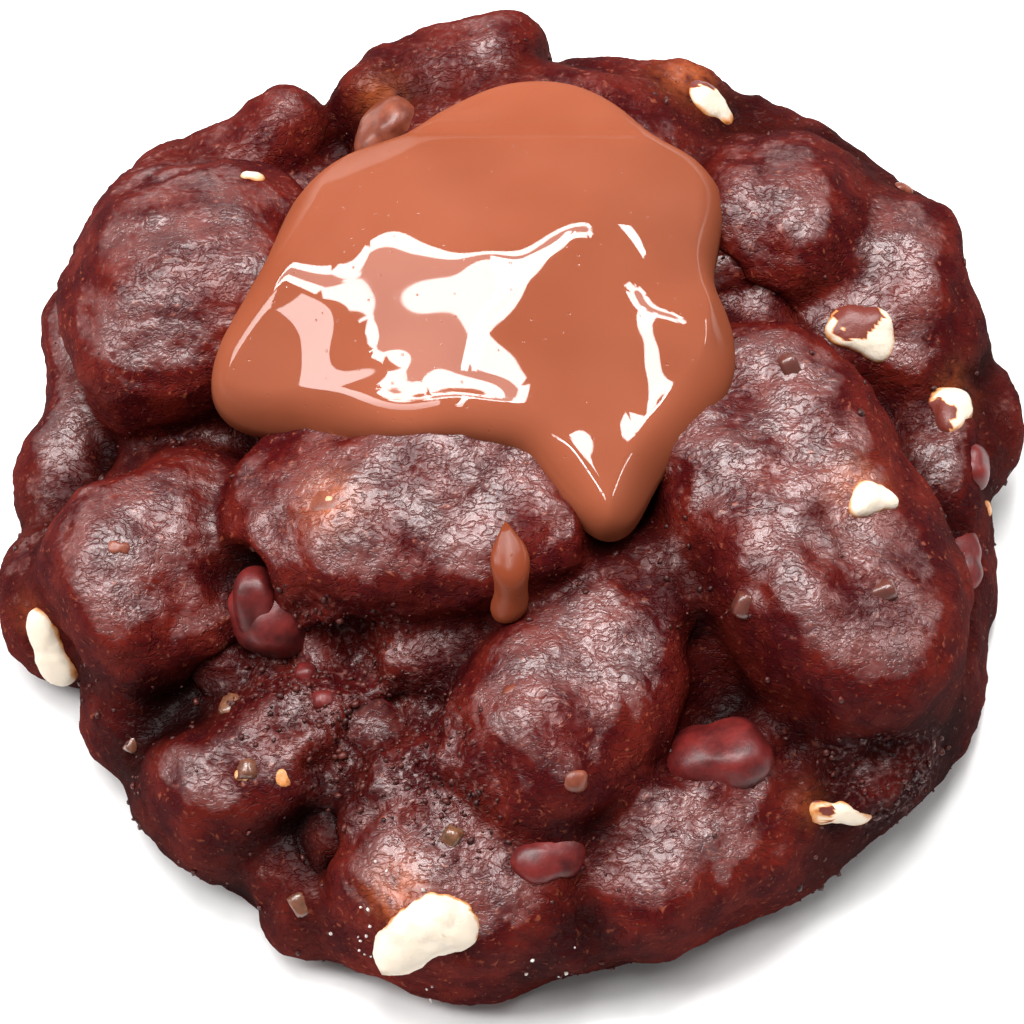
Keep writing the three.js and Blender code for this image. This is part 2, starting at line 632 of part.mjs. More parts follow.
/** The spots of the pool's grid seen from above, each with its way in from the outline. */
function poolSpots(grid) {
  const outline = new THREE.CatmullRomCurve3(
    GANACHE_OUTLINE.map(([x, y]) => new THREE.Vector3(x, y, 0)),
    true,
    'centripetal',
  );
  const rim = outline.getPoints(OUTLINE_STEPS);
  const centre = new THREE.Vector3(...GANACHE_CENTRE, 0);
  const rimSides = rim.map((p) => p.clone().sub(centre).normalize());
  const flats = grid.spots.map(({ radius, angle }) => {
    const side = sideways(radius, angle);
    const closeness = rimSides.map((rimSide) => rimSide.dot(side));
    const edge = rim[closeness.indexOf(Math.max(...closeness))];
    return centre.clone().lerp(edge, Math.abs(radius));
  });
  const loop = edgeLoop(GANACHE_CELLS);
  const onEdge = new Map(loop.map((vertex, i) => [vertex, i]));
  for (let round = 0; round < OUTLINE_EVENING; round += 1) {
    flats.forEach((flat, i) => {
      if (!onEdge.has(i)) {
        const around = neighbours(i, GANACHE_CELLS, loop, onEdge);
        flat.set(0, 0, 0);
        around.forEach((n) => flat.addScaledVector(flats[n], 1 / around.length));
      }
    });
  }
  return flats.map((flat, i) => {
    const inset = onEdge.has(i) ? 0 : Math.min(...rim.map((p) => p.distanceTo(flat)));
    return { flat, inset };
  });
}

/** The bed that the pool lies on: points and normals of the dough's soft form, evened out. */
function poolBed(spots) {
  const down = new THREE.Vector3(0, 0, -1);
  const above = 60;
  const points = spots.map(({ flat, inset }) => {
    const cling = GANACHE_CLING * (1 - THREE.MathUtils.smoothstep(inset, 0, GANACHE_SOFT_WIDTH));
    const clinging = (x, y, z) => {
      const soft = softDistance(x, y, z);
      return soft + THREE.MathUtils.clamp(doughDistance(x, y, z) - soft, -cling, cling);
    };
    return meet(clinging, flat.clone().setZ(above), down);
  });
  const normals = points.map((p) => slopeOf(softDistance, p).normalize());
  const loop = edgeLoop(GANACHE_CELLS);
  const onEdge = new Map(loop.map((vertex, i) => [vertex, i]));
  for (let round = 0; round < GANACHE_EVENING; round += 1) {
    const heights = points.map((p) => p.z);
    const before = normals.map((n) => n.clone());
    points.forEach((p, i) => {
      const around = neighbours(i, GANACHE_CELLS, loop, onEdge);
      const mean = around.reduce((sum, n) => sum + heights[n], 0) / around.length;
      const share = onEdge.has(i) ? EDGE_EVENING_SHARE : EVENING_SHARE;
      p.z = THREE.MathUtils.lerp(heights[i], mean, share);
      around.forEach((n) => normals[i].addScaledVector(before[n], 1 / around.length));
      normals[i].normalize();
    });
  }
  return { points, normals };
}

/** The pool of ganache: a skin with a rounded edge on its bed, grown by a margin. */
function ganacheSolid(grid, spots, bed, margin) {
  const top = [];
  const underside = [];
  spots.forEach(({ flat, inset }, i) => {
    const normal = bed.normals[i];
    const swell = GANACHE_SWELLS.reduce((sum, { at, reach, height }) => {
      const away = Math.hypot(flat.x - at[0], flat.y - at[1]) / reach;
      return sum + height * Math.exp(-away * away);
    }, 0);
    const edgeShare = Math.min(inset / GANACHE_EDGE_WIDTH, 1);
    const round = Math.sqrt(1 - (1 - edgeShare) ** 2);
    const rise = (GANACHE_THICKNESS + GANACHE_EDGE_DIP + swell * edgeShare) * round;
    const fall = (GANACHE_HIDDEN_DEPTH - GANACHE_EDGE_DIP) * round;
    const start = bed.points[i];
    top.push(start.clone().addScaledVector(normal, rise - GANACHE_EDGE_DIP));
    underside.push(start.clone().addScaledVector(normal, -fall - GANACHE_EDGE_DIP));
  });
  const flipped = [];
  for (let i = 0; i < grid.index.length; i += 3) {
    flipped.push(grid.index[i], grid.index[i + 2], grid.index[i + 1]);
  }
  const undersideIndex = flipped.map((vertex) => vertex + top.length);
  return makeSolid([...top, ...underside], [...grid.index, ...undersideIndex], margin);
}

/** The drip: a ball drawn out along its run, pointed at both ends, with a knot and a waist. */
function dripSolid() {
  const run = new THREE.CatmullRomCurve3(
    DRIP_RUN.map((at) => settle(doughDistance, new THREE.Vector3(...at), DRIP_LIFT, 8)),
  );
  const shape = new THREE.IcosahedronGeometry(1, 3);
  const position = shape.attributes.position;
  for (let i = 0; i < position.count; i += 1) {
    const p = new THREE.Vector3().fromBufferAttribute(position, i);
    const share = Math.acos(THREE.MathUtils.clamp(p.z, -1, 1)) / Math.PI;
    const fullness = Math.max(Math.sin(Math.PI * share), 1e-6) ** (DRIP_BLUNTNESS - 1);
    const wave = Math.cos((2 * Math.PI * (share - DRIP_KNOT)) / DRIP_WAVE);
    const radius = DRIP_RADIUS * fullness * (1 + DRIP_WAIST * wave);
    const middle = run.getPoint(share);
    position.setXYZ(i, middle.x + p.x * radius, middle.y + p.y * radius, middle.z);
  }
  return toSolid(shape);
}

// ---------------------------------------------------------------------------------------------
// Chips
// ---------------------------------------------------------------------------------------------

/** A closed curve through reaches at even angles, read at an angle. */
function reachAt(angle, reaches) {
  const place = (angle / (2 * Math.PI) + 1) * reaches.length;
  const low = Math.floor(place);
  const part = place - low;
  const [a, b, c, d] = [-1, 0, 1, 2].map((step) => reaches[(low + step) % reaches.length]);
  return 0.5 * (
    2 * b + (c - a) * part + (2 * a - 5 * b + 4 * c - d) * part ** 2
    + (3 * b - a - 3 * c + d) * part ** 3
  );
}

/** An uneven, squarish pebble with its height along a normal, grown by a margin. */
function pebble({ reaches, height, detail }, place, normal, order, margin) {
  const shape = new THREE.IcosahedronGeometry(1, detail);
  const turn = new THREE.Quaternion().setFromUnitVectors(new THREE.Vector3(0, 0, 1), normal);
  const position = shape.attributes.position;
  for (let i = 0; i < position.count; i += 1) {
    const p = new THREE.Vector3().fromBufferAttribute(position, i);
    const sum = p.toArray().reduce((total, part) => total + Math.abs(part) ** CHIP_SQUARENESS, 0);
    const wave = noise(
      p.x * CHIP_UNEVEN_SIZE + order * CHIP_OFFSET,
      p.y * CHIP_UNEVEN_SIZE,
      p.z * CHIP_UNEVEN_SIZE,
    );
    const reach = reachAt(Math.atan2(p.y, p.x), reaches);
    p.multiplyScalar((1 + CHIP_UNEVENNESS * wave) / sum ** (1 / CHIP_SQUARENESS));
    p.multiply(new THREE.Vector3(reach, reach, height)).applyQuaternion(turn).add(place);
    position.setXYZ(i, p.x, p.y, p.z);
  }
  return toSolid(shape, margin);
}

/** A chip of chocolate half sunk into the dough, with its tip if it has one. */
function chipSolid({ at, reaches, height, depth, tip }, order, margin) {
  const detail = Math.max(...reaches) > CHIP_LARGE ? 2 : 1;
  const place = settle(doughDistance, new THREE.Vector3(...at), -depth, 8);
  const normal = slopeOf(doughDistance, place).normalize();
  const body = pebble({ reaches, height, detail }, place, normal, order, margin);
  if (!tip) {
    return body;
  }
  const form = { reaches: [tip.width], height: tip.length, detail: 1 };
  const way = new THREE.Vector3(...tip.way).normalize();
  return body.add(pebble(form, new THREE.Vector3(...tip.at), way, order, margin));
}

/** The chips of all kinds in one list, each with its node's name and its finish. */
function allChips() {
  const kinds = [
    { prefix: 'white_chip', chips: WHITE_CHIPS, finish: FINISHES.whiteChocolate },
    { prefix: 'dark_chip', chips: DARK_CHIPS, finish: FINISHES.darkChocolate },
    { prefix: 'milk_chip', chips: MILK_CHIPS, finish: FINISHES.milkChocolate },
  ];
  return kinds.flatMap(({ prefix, chips, finish }) => Object.entries(chips).map(
    ([place, chip]) => ({ name: `${prefix}_${place}`, finish, ...chip }),
  ));
}

// ---------------------------------------------------------------------------------------------
// Assembly
// ---------------------------------------------------------------------------------------------

const doughGrid = discGrid(DOUGH_CELLS);
const upperSide = doughPoints(doughGrid);
const grownDough = doughSolid(doughGrid, upperSide, CLEARANCE);

const poolGrid = discGrid(GANACHE_CELLS);
const spots = poolSpots(poolGrid);
const bed = poolBed(spots);

const chips = allChips();
const chipSolids = chips.map((chip, order) => chipSolid(chip, order, 0));
const chipPockets = wasm.Manifold.union(
  chips.map((chip, order) => chipSolid(chip, order, CLEARANCE)),
);
const poolPocket = ganacheSolid(poolGrid, spots, bed, POOL_GROWTH);

const doughWithCrystals = wasm.Manifold.union([
  doughSolid(doughGrid, upperSide, 0),
  ...crystalSolids(),
]);
const ganache = largestBody(ganacheSolid(poolGrid, spots, bed, 0).subtract(chipPockets));
const dough = largestBody(doughWithCrystals.subtract(chipPockets).subtract(poolPocket));
const drip = largestBody(dripSolid().subtract(grownDough));

const cookie = new THREE.Group();
cookie.add(makeMesh('dough', dough, FINISHES.dough));
cookie.add(makeMesh('ganache', ganache, FINISHES.ganache));
cookie.add(makeMesh('ganache_drip', drip, FINISHES.ganache));
chips.forEach((chip, i) => cookie.add(makeMesh(chip.name, chipSolids[i], chip.finish)));

export default cookie;
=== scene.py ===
"""Triple chocolate cookie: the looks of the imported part, laid out as a Blender add-on.

Forms are worked out in millimetres in the same frame as the part and turned to metres at the
end. The dough, the pool of ganache and the chips follow the part's own named values.
"""

import bpy
import numpy as np
from bpy.props import FloatProperty, FloatVectorProperty, IntProperty, PointerProperty
from bpy.types import Operator, Panel, PropertyGroup
from mathutils import Matrix, Vector


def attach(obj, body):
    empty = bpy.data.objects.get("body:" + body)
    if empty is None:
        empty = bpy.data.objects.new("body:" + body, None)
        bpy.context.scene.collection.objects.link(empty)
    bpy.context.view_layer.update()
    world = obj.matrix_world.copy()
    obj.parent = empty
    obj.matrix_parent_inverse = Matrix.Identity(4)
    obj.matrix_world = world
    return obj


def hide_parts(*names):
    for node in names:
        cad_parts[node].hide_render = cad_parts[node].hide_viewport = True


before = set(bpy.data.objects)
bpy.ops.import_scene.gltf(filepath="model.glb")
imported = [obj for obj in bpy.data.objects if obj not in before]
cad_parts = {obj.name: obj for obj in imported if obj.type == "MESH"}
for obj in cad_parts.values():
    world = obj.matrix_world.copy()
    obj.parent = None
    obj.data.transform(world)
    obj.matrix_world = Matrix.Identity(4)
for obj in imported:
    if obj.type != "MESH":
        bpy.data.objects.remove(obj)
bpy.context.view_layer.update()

bl_info = {
    "name": "Triple chocolate cookie",
    "version": (1, 0, 0),
    "blender": (4, 5, 0),
    "location": "View3D > Sidebar > Cookie",
    "description": "Builds the surfaces and materials of a triple chocolate cookie",
    "category": "Object",
}

MM = 0.001

# ------------ Forms of the dough, as in the part's source ------------

# The low disc that all the lumps sit on
DISC_RADIUS = 45.0
DISC_TOP = 10.5
DISC_UNDER = -4.0
DISC_EDGE_ROUND = 6.0

# How the lumps run together, and the unevenness of the dough
CREASE_ROUND = 0.9
LUMP_SQUARENESS = 2.6
SMOOTH_CREASE_ROUND = 3.0
WANDER_SIZE = 13.0
WANDER_HEIGHT = 3.2
WANDER_OFFSETS = (0.0, 40.5, 80.5)
BUMP_SIZE = 6.0
BUMP_HEIGHT = 0.8
BUMP_OFFSET = 17.3
TORN_SIZE = 4.6
TORN_HEIGHT = 1.9
TORN_OFFSET = 53.1
TORN_FALL = 1.6
PIT_EDGE_ROUND = 0.8

# Lumps of dough: centre, half sizes, and turn about Z in degrees
LUMPS = {
    "left_back": ((-30.5, 16.5, 18.5), (12.3, 14.0, 12.0), 8),
    "left_front": ((-33.5, -10.5, 12.0), (11.5, 10.5, 11.5), 15),
    "middle": ((-9.5, -8.0, 19.5), (18.0, 10.8, 11.0), 2),
    "front_middle": ((5.8, -24.2, 16.0), (15.8, 9.0, 10.0), 58),
    "right_long": ((26.5, -7.0, 17.0), (23.0, 12.3, 13.0), -64),
    "right_foot": ((31.0, -18.0, 14.5), (11.0, 12.0, 12.5), -70),
    "right_back": ((26.5, 25.5, 16.0), (9.5, 10.0, 11.5), 0),
    "right_shoulder": ((35.5, 19.5, 12.5), (10.5, 12.5, 11.0), -5),
    "crown": ((-2.0, 14.0, 18.0), (20.0, 18.0, 13.5), 0),
    "crown_back": ((3.0, 33.0, 14.5), (19.0, 10.0, 11.0), 0),
    "front_left": ((-22.8, -29.0, 9.5), (12.0, 7.0, 8.3), 30),
    "front_low": ((-4.5, -37.3, 8.0), (14.0, 12.0, 10.5), 8),
    "front_right": ((17.5, -35.0, 8.5), (13.5, 9.0, 9.8), 28),
    # small lumps between the large ones
    "crumb_middle": ((-6.5, -20.3, 16.5), (6.0, 3.6, 4.0), 5),
    "crumb_right": ((13.0, -14.5, 20.0), (5.0, 3.0, 3.0), -30),
    "torn1": ((-14.0, -29.5, 9.0), (9.0, 6.0, 6.5), 20),
    "torn2": ((-20.5, -20.5, 9.5), (10.0, 7.5, 6.0), 10),
    "torn3": ((-2.5, -30.5, 11.0), (8.5, 6.0, 6.5), 20),
    "torn4": ((-8.0, -24.0, 9.5), (8.0, 6.0, 6.5), 10),
    "gap_left": ((-29.0, 1.5, 11.0), (9.0, 5.0, 6.5), 0),
    "gap_front": ((15.5, -28.5, 9.5), (7.0, 5.0, 5.5), 30),
    "gap_foot": ((32.5, -28.5, 8.5), (9.0, 5.0, 5.5), 45),
    "gap_right": ((40.5, 3.0, 10.5), (5.5, 9.0, 7.0), 0),
    # the scalloped rim, from the right round the back, the left and the front
    "rim_right": ((45.0, 8.5, 8.0), (5.0, 6.5, 6.5), 0),
    "rim_right_high": ((41.5, 20.5, 9.5), (5.5, 8.5, 7.0), 14),
    "rim_back_right": ((34.5, 29.5, 11.5), (9.5, 5.5, 7.0), -45),
    "rim_back_corner": ((26.0, 35.5, 12.0), (8.0, 5.5, 7.6), -38),
    "rim_back": ((13.5, 41.5, 14.0), (10.0, 5.5, 7.6), -6),
    "rim_back_high": ((-5.0, 43.5, 15.5), (9.0, 6.5, 8.5), 0),
    "rim_back_knob": ((-13.5, 43.0, 14.5), (5.0, 5.0, 8.5), 0),
    "rim_back_left": ((-26.5, 37.0, 12.5), (9.0, 6.0, 7.5), 28),
    "rim_left_high": ((-36.5, 30.0, 11.0), (9.0, 6.0, 7.5), 50),
    "rim_left": ((-43.0, 10.0, 7.0), (5.5, 14.0, 7.0), 0),
    "rim_left_front": ((-43.0, -9.5, 6.5), (5.5, 7.5, 6.5), 8),
    "rim_front_left": ((-35.0, -22.5, 6.0), (8.0, 5.5, 6.0), -50),
    "rim_under_left": ((-29.0, -29.0, 6.0), (6.0, 6.0, 6.5), 45),
    "rim_under_front": ((-16.5, -37.5, 6.0), (7.5, 6.5, 6.5), 35),
    "rim_front": ((5.5, -42.0, 5.5), (6.5, 5.0, 5.5), 10),
    "rim_front_right": ((28.5, -31.0, 6.0), (9.0, 5.0, 6.5), 40),
    "rim_foot": ((41.0, -17.5, 6.5), (5.5, 8.5, 6.0), -22),
    "rim_right_low": ((44.0, -6.0, 7.0), (5.0, 8.5, 6.5), 0),
}
# How far a lump's long axis bows and how fast its girth grows along it, per millimetre
BENDS = {"middle": 0.006, "right_long": 0.004}
TAPERS = {"middle": 0.004, "front_middle": -0.006}

# Holes in the creases between the lumps: centre and radius
PITS = (
    ((-32.5, 2.5, 13.5), 3.0),
    ((-22.5, -6.0, 15.0), 2.6),
    ((-27.5, -19.5, 13.0), 2.8),
    ((-16.5, -17.5, 15.5), 2.6),
    ((-12.5, -27.0, 15.0), 2.4),
    ((-17.5, -37.5, 12.0), 2.2),
    ((-5.0, -28.5, 16.0), 2.4),
    ((20.5, 19.0, 21.0), 3.2),
    ((24.0, 15.5, 20.0), 2.6),
    ((14.5, -25.0, 14.0), 3.0),
    ((19.0, -12.0, 19.0), 2.6),
    ((2.0, -14.5, 20.0), 2.2),
    ((-25.4, -14.4, 21.6), 3.0),
)

# Torn, crumbly places: centre and reach
TORN_PLACES = (
    ((-16.5, -23.0, 14.0), 13.0),
    ((-7.0, -33.0, 16.0), 10.0),
    ((33.0, -28.0, 12.0), 8.0),
    ((-30.0, 2.0, 14.0), 6.0),
)

# Ganache: the pool's thickness, the width of its rounded edge, how far its edge dips into the
# dough, how deep its hidden side lies, and how it clings to the dough near its edge
GANACHE_THICKNESS = 2.9
GANACHE_EDGE_WIDTH = 3.2
GANACHE_EDGE_DIP = 1.0
GANACHE_HIDDEN_DEPTH = 1.8
GANACHE_SOFT_WIDTH = 5.0
GANACHE_CLING = 1.2
GANACHE_CENTRE = (-1.0, 13.0)
GANACHE_CELLS = 20
GANACHE_EVENING = 10
OUTLINE_EVENING = 60
GANACHE_OUTLINE = (
    (21.4, 4.5), (21.2, 8.5), (19.5, 14.5), (20.2, 19.2), (20.8, 23.4), (18.4, 28.0),
    (13.8, 30.6), (10.8, 34.0), (6.0, 37.0), (-1.0, 37.6), (-7.2, 34.4), (-11.2, 30.0),
    (-15.8, 28.4), (-20.6, 24.6), (-23.2, 16.0), (-25.7, 10.8), (-28.4, 6.5), (-28.8, 2.6),
    (-26.4, 0.0), (-20.0, -1.5), (-11.5, -4.6), (-3.0, -5.2), (1.6, -6.2), (4.4, -9.8),
    (6.6, -13.0), (9.0, -13.8), (11.2, -12.2), (13.2, -7.6), (16.2, -3.4), (20.3, 1.0),
)  # fmt: skip
# Swells and dips of the pool: middle, reach and height
GANACHE_SWELLS = (
    ((-12.1, 19.8), 5.7, 1.4),
    ((6.5, 16.5), 6.1, 1.6),
    ((-2.4, 19.5), 5.0, -1.2),
    ((-3.1, 9.5), 5.5, -0.7),
    ((-4.2, 10.8), 8.8, 0.8),
    ((18.6, 28.4), 3.9, -0.3),
    ((-13.8, 1.6), 4.9, 0.6),
    ((16.5, 7.3), 6.0, 1.6),
    ((-2.6, 33.6), 4.1, -0.8),
    ((11.8, -0.5), 4.1, -0.3),
)
# Low ripples on the swells, finer than the part's mesh: middle, reach and height
GANACHE_RIPPLES = (
    ((-13.5, 14.5), 3.0, 0.15),
    ((-6.5, 18.5), 5.0, 0.25),
    ((-2.5, 13.0), 2.0, 0.2),
    ((10.0, 15.0), 3.0, -0.2),
    ((15.5, 12.0), 4.5, -0.15),
    ((15.0, 12.0), 2.0, -0.1),
    ((13.0, 7.5), 2.0, 0.1),
    ((13.5, 17.0), 4.5, 0.2),
    ((5.0, 11.5), 3.5, -0.25),
    ((-1.0, 4.0), 3.0, -0.15),
    ((-17.0, -1.0), 6.0, -0.3),
    ((-10.5, -1.0), 3.5, -0.3),
    ((-9.0, -4.0), 2.5, -0.45),
    ((-2.5, 0.0), 2.5, -0.15),
    ((12.0, 0.5), 5.0, -0.15),
    ((11.0, 3.0), 2.5, -0.1),
    ((4.0, -5.0), 2.0, -0.1),
    ((18.5, 1.0), 3.5, -0.2),
)
# The crease where the ganache overran itself: its middle, half length, bow, depth and width
CREASE_MIDDLE = (1.0, 27.8)
CREASE_HALF_LENGTH = 12.5
CREASE_BOW = 0.006
CREASE_DEPTH = 0.35
CREASE_WIDTH = 1.0

# The drip: points near its run, how far its middle lies off the dough, its radius, how bluntly
# it ends, and how its thickness comes and goes from a knot on
DRIP_RUN = ((-0.6, -13.0, 30.0), (-0.2, -16.4, 28.4), (-0.1, -19.2, 25.0), (-0.3, -20.2, 21.4))
DRIP_LIFT = 0.5
DRIP_RADIUS = 1.8
DRIP_BLUNTNESS = 0.7
DRIP_WAIST = 0.14
DRIP_KNOT = 0.30
DRIP_WAVE = 0.45

# Chips: a point near the dough's surface, the reach from the middle to the edge every 45
# degrees round the dough's own slope, the height, and how deep the middle lies under the surface
WHITE_CHIPS = {
    "back": ((20.1, 39.2, 20.5), (1.6, 1.3, 1.5, 2.7, 3.0, 2.0, 2.0, 3.6), 2.2, 1.0),
    "shoulder": ((34.1, 12.0, 21.3), (3.3, 2.9, 2.8, 3.2, 3.9, 2.2, 2.4, 3.5), 2.4, 1.2),
    "right": ((42.3, 6.3, 17.4), (2.6, 2.6, 2.4, 2.7, 2.3, 2.0, 3.6, 2.2), 2.2, 1.0),
    "long_lump": ((33.4, -10.0, 28.4), (2.9, 1.8, 1.7, 1.9, 2.3, 2.5, 1.8, 1.5), 1.9, 1.0),
    "left": ((-44.5, -15.8, 8.6), (2.1, 2.0, 4.6, 2.4, 1.7, 2.3, 4.1, 3.4), 2.3, 1.0),
    "front": ((-7.1, -48.0, 15.9), (4.6, 3.6, 3.6, 3.0, 4.1, 5.6, 2.8, 2.7), 2.8, 1.3),
    "sliver": ((30.2, -34.9, 12.9), (4.0, 1.7, 1.3, 1.6, 4.4, 1.3, 1.1, 1.4), 1.5, 0.7),
}
DARK_CHIPS = {
    "middle": ((-23.1, -18.6, 16.8), (4.2, 4.2, 4.3, 4.7, 5.4, 5.2, 4.6, 4.2), 4.0, 1.0),
    "front": ((18.3, -30.5, 17.9), (5.4, 3.9, 3.2, 4.2, 5.7, 3.9, 3.3, 4.6), 3.0, 1.2),
    "rim": ((45.2, 0.4, 15.5), (2.0, 2.2, 2.3, 2.2, 2.0, 2.2, 2.3, 2.2), 1.9, 0.8),
    "side": ((43.4, -8.6, 13.0), (1.8, 2.3, 3.6, 2.3, 1.8, 2.3, 3.6, 2.3), 1.9, 0.8),
    "low": ((3.7, -41.4, 17.0), (3.7, 3.2, 2.2, 2.2, 3.6, 3.1, 2.3, 2.3), 2.2, 1.1),
}
MILK_CHIPS = {
    "back": ((-13.0, 35.4, 22.3), (3.5, 3.5, 3.0, 2.8, 3.4, 3.6, 3.0, 2.7), 2.8, 1.0),
}
# The tip of the dark chip that lies on its side: its middle, the way it points, and its half
# width and half length
TIPS = {"middle": ((-24.0, -16.6, 19.6), (-0.1, 0.6, 0.8), 2.1, 3.6)}
CHIP_SQUARENESS = 2.8
CHIP_UNEVENNESS = 0.14
CHIP_UNEVEN_SIZE = 1.3
CHIP_OFFSET = 5.7

# ------------ Noise ------------

NOISE_SEED = 2024
RANDOM_FACTOR = 16807
RANDOM_RANGE = 2147483647


def shuffled_bytes(seed):
    """The numbers 0 to 255 shuffled with a multiplicative random row, as in the part."""
    table = list(range(256))
    state = seed
    for i in range(255, 0, -1):
        state = state * RANDOM_FACTOR % RANDOM_RANGE
        j = state % (i + 1)
        table[i], table[j] = table[j], table[i]
    return np.array(table)


SHUFFLED = shuffled_bytes(NOISE_SEED)


def noise(points):
    """Gradient noise: each corner of a unit cell has a slope from the shuffled table, and the
    heights of the eight slopes are blended with 6t^5 - 15t^4 + 10t^3."""
    cell = np.floor(points).astype(np.int64)
    part = points - cell
    ease = part**3 * (part * (part * 6 - 15) + 10)
    total = np.zeros(len(points))
    for corner in range(8):
        step = np.array((corner & 1, (corner >> 1) & 1, corner >> 2))
        weight = np.where(step == 1, ease, 1 - ease).prod(axis=1)
        hash_x = SHUFFLED[(cell[:, 0] + step[0]) & 255]
        hash_y = SHUFFLED[(hash_x + cell[:, 1] + step[1]) & 255]
        hash_z = SHUFFLED[(hash_y + cell[:, 2] + step[2]) & 255]
        away = part - step
        rise = ((hash_z & 15) / 7.5 - 1) * away[:, 0]
        rise += ((hash_z >> 4) / 7.5 - 1) * away[:, 1]
        rise += (SHUFFLED[hash_z] / 127.5 - 1) * away[:, 2]
        total += weight * rise
    return total


def sized_noise(points, size, offset):
    """Noise with swellings of a size in millimetres, from a stretch of its own."""
    return noise(points / size + offset)


def smooth_step(value, low, high):
    """0 below low, 1 above high, and 3t^2 - 2t^3 between."""
    t = np.clip((value - low) / (high - low), 0, 1)
    return t * t * (3 - 2 * t)


# ------------ The dough as a distance in millimetres ------------

# The farthest that a distance is followed, how far a crease reaches past a lump in widths of
# its round, and the least slope that a point is moved by
LIMIT = 40.0
CREASE_REACH = 6.0
LEAST_SLOPE = 0.2
# How often a point is moved before it counts as settled, and how far at most each time
SETTLE_ROUNDS = 8
SETTLE_STRIDE = 1.5


def disc_distance(p):
    """Distance to a disc with a rounded edge: the length of what is over, less the round."""
    middle = (DISC_TOP + DISC_UNDER) / 2
    half_height = (DISC_TOP - DISC_UNDER) / 2
    out = np.hypot(p[:, 0], p[:, 1]) - (DISC_RADIUS - DISC_EDGE_ROUND)
    up = np.abs(p[:, 2] - middle) - (half_height - DISC_EDGE_ROUND)
    corner = np.hypot(np.maximum(out, 0), np.maximum(up, 0))
    return corner + np.minimum(np.maximum(out, up), 0) - DISC_EDGE_ROUND


def lump_distance(name, away):
    """Distance to a superellipsoid: (reach - 1) / slope, with reach the 2.6-norm of the unit
    coordinates, after a turn about Z, a bend (y += bend x^2) and a taper (1 + taper x)."""
    _, half, turn = LUMPS[name]
    turn = np.radians(turn)
    half = np.array(half)
    along = away[:, 0] * np.cos(turn) + away[:, 1] * np.sin(turn)
    across = -away[:, 0] * np.sin(turn) + away[:, 1] * np.cos(turn)
    across = across + BENDS.get(name, 0) * along * along
    girth = 1 + TAPERS.get(name, 0) * along
    unit = np.abs(np.stack((along, across / girth, away[:, 2] / girth), 1)) / half + 1e-6
    power = unit ** (LUMP_SQUARENESS - 1)
    reach = (power * unit).sum(axis=1) ** (1 / LUMP_SQUARENESS)
    slope = np.sqrt(((power / half) ** 2).sum(axis=1)) * reach ** (1 - LUMP_SQUARENESS)
    return (reach - 1) / slope


def lumpy_distance(p, crease):
    """Smooth union -k ln(sum exp(-d / k)) of the disc and the lumps, in wandering space."""
    shifts = [sized_noise(p, WANDER_SIZE, offset) for offset in WANDER_OFFSETS]
    q = p + WANDER_HEIGHT * np.stack(shifts, 1)
    total = np.exp(-np.clip(disc_distance(q), -LIMIT, LIMIT) / crease)
    for name, (at, half, _) in LUMPS.items():
        away = q - np.array(at)
        reach = np.linalg.norm(half) + CREASE_REACH * crease
        near = np.nonzero((away * away).sum(axis=1) < reach * reach)[0]
        if len(near):
            distance = np.clip(lump_distance(name, away[near]), -LIMIT, LIMIT)
            total[near] += np.exp(-distance / crease)
    return -crease * np.log(total)


def torn_share(p):
    """How torn the dough is at each point: 1 in the middle of a torn place, 0 outside."""
    torn = np.zeros(len(p))
    for at, reach in TORN_PLACES:
        away = np.linalg.norm(p - np.array(at), axis=1)
        torn = np.maximum(torn, np.clip(TORN_FALL * (1 - away / reach), 0, 1))
    return torn


def dough_distance(p):
    """Distance to the baked dough: the lumps, less the pits, with bumps on top."""
    result = lumpy_distance(p, CREASE_ROUND)
    for at, radius in PITS:
        hole = radius - np.linalg.norm(p - np.array(at), axis=1)
        top = np.maximum(result, hole)
        shares = np.exp((result - top) / PIT_EDGE_ROUND) + np.exp((hole - top) / PIT_EDGE_ROUND)
        result = top + PIT_EDGE_ROUND * np.log(shares)
    bump = BUMP_HEIGHT * sized_noise(p, BUMP_SIZE, BUMP_OFFSET)
    tears = TORN_HEIGHT * torn_share(p) * sized_noise(p, TORN_SIZE, TORN_OFFSET)
    return result + bump + tears


def soft_distance(p):
    """Distance to the dough with soft creases and no bumps, as thick liquid lies over it."""
    return lumpy_distance(p, SMOOTH_CREASE_ROUND)


TETRAHEDRON = np.array(((1, -1, -1), (-1, -1, 1), (-1, 1, -1), (1, 1, 1)), float)


def slope_of(distance, p, step=0.05):
    """Slope and value of a distance from four samples at the corners of a tetrahedron."""
    samples = [distance(p + step * corner) for corner in TETRAHEDRON]
    slope = sum(s[:, None] * corner for s, corner in zip(samples, TETRAHEDRON))
    return slope / (4 * step), sum(samples) / 4


def settle(distance, p, level):
    """Moves points to where the distance has a value: p -= slope * miss / |slope|^2."""
    for _ in range(SETTLE_ROUNDS):
        slope, value = slope_of(distance, p)
        share = (value - level) / np.maximum((slope * slope).sum(axis=1), LEAST_SLOPE)
        p = p - slope * np.clip(share, -SETTLE_STRIDE, SETTLE_STRIDE)[:, None]
    return p


def meet(distance, start, direction, steps=110, longest=3.0, care=0.8):
    """Walks from each start along its direction by a share of the distance, to the form."""
    p = start.copy()
    walking = np.arange(len(p))
    for _ in range(steps):
        gap = distance(p[walking])
        walking = walking[gap > 0.01]
        gap = gap[gap > 0.01]
        if not len(walking):
            break
        p[walking] += direction[walking] * (np.clip(gap, -longest, longest) * care)[:, None]
    return p


# ------------ Square grids bent into discs ------------


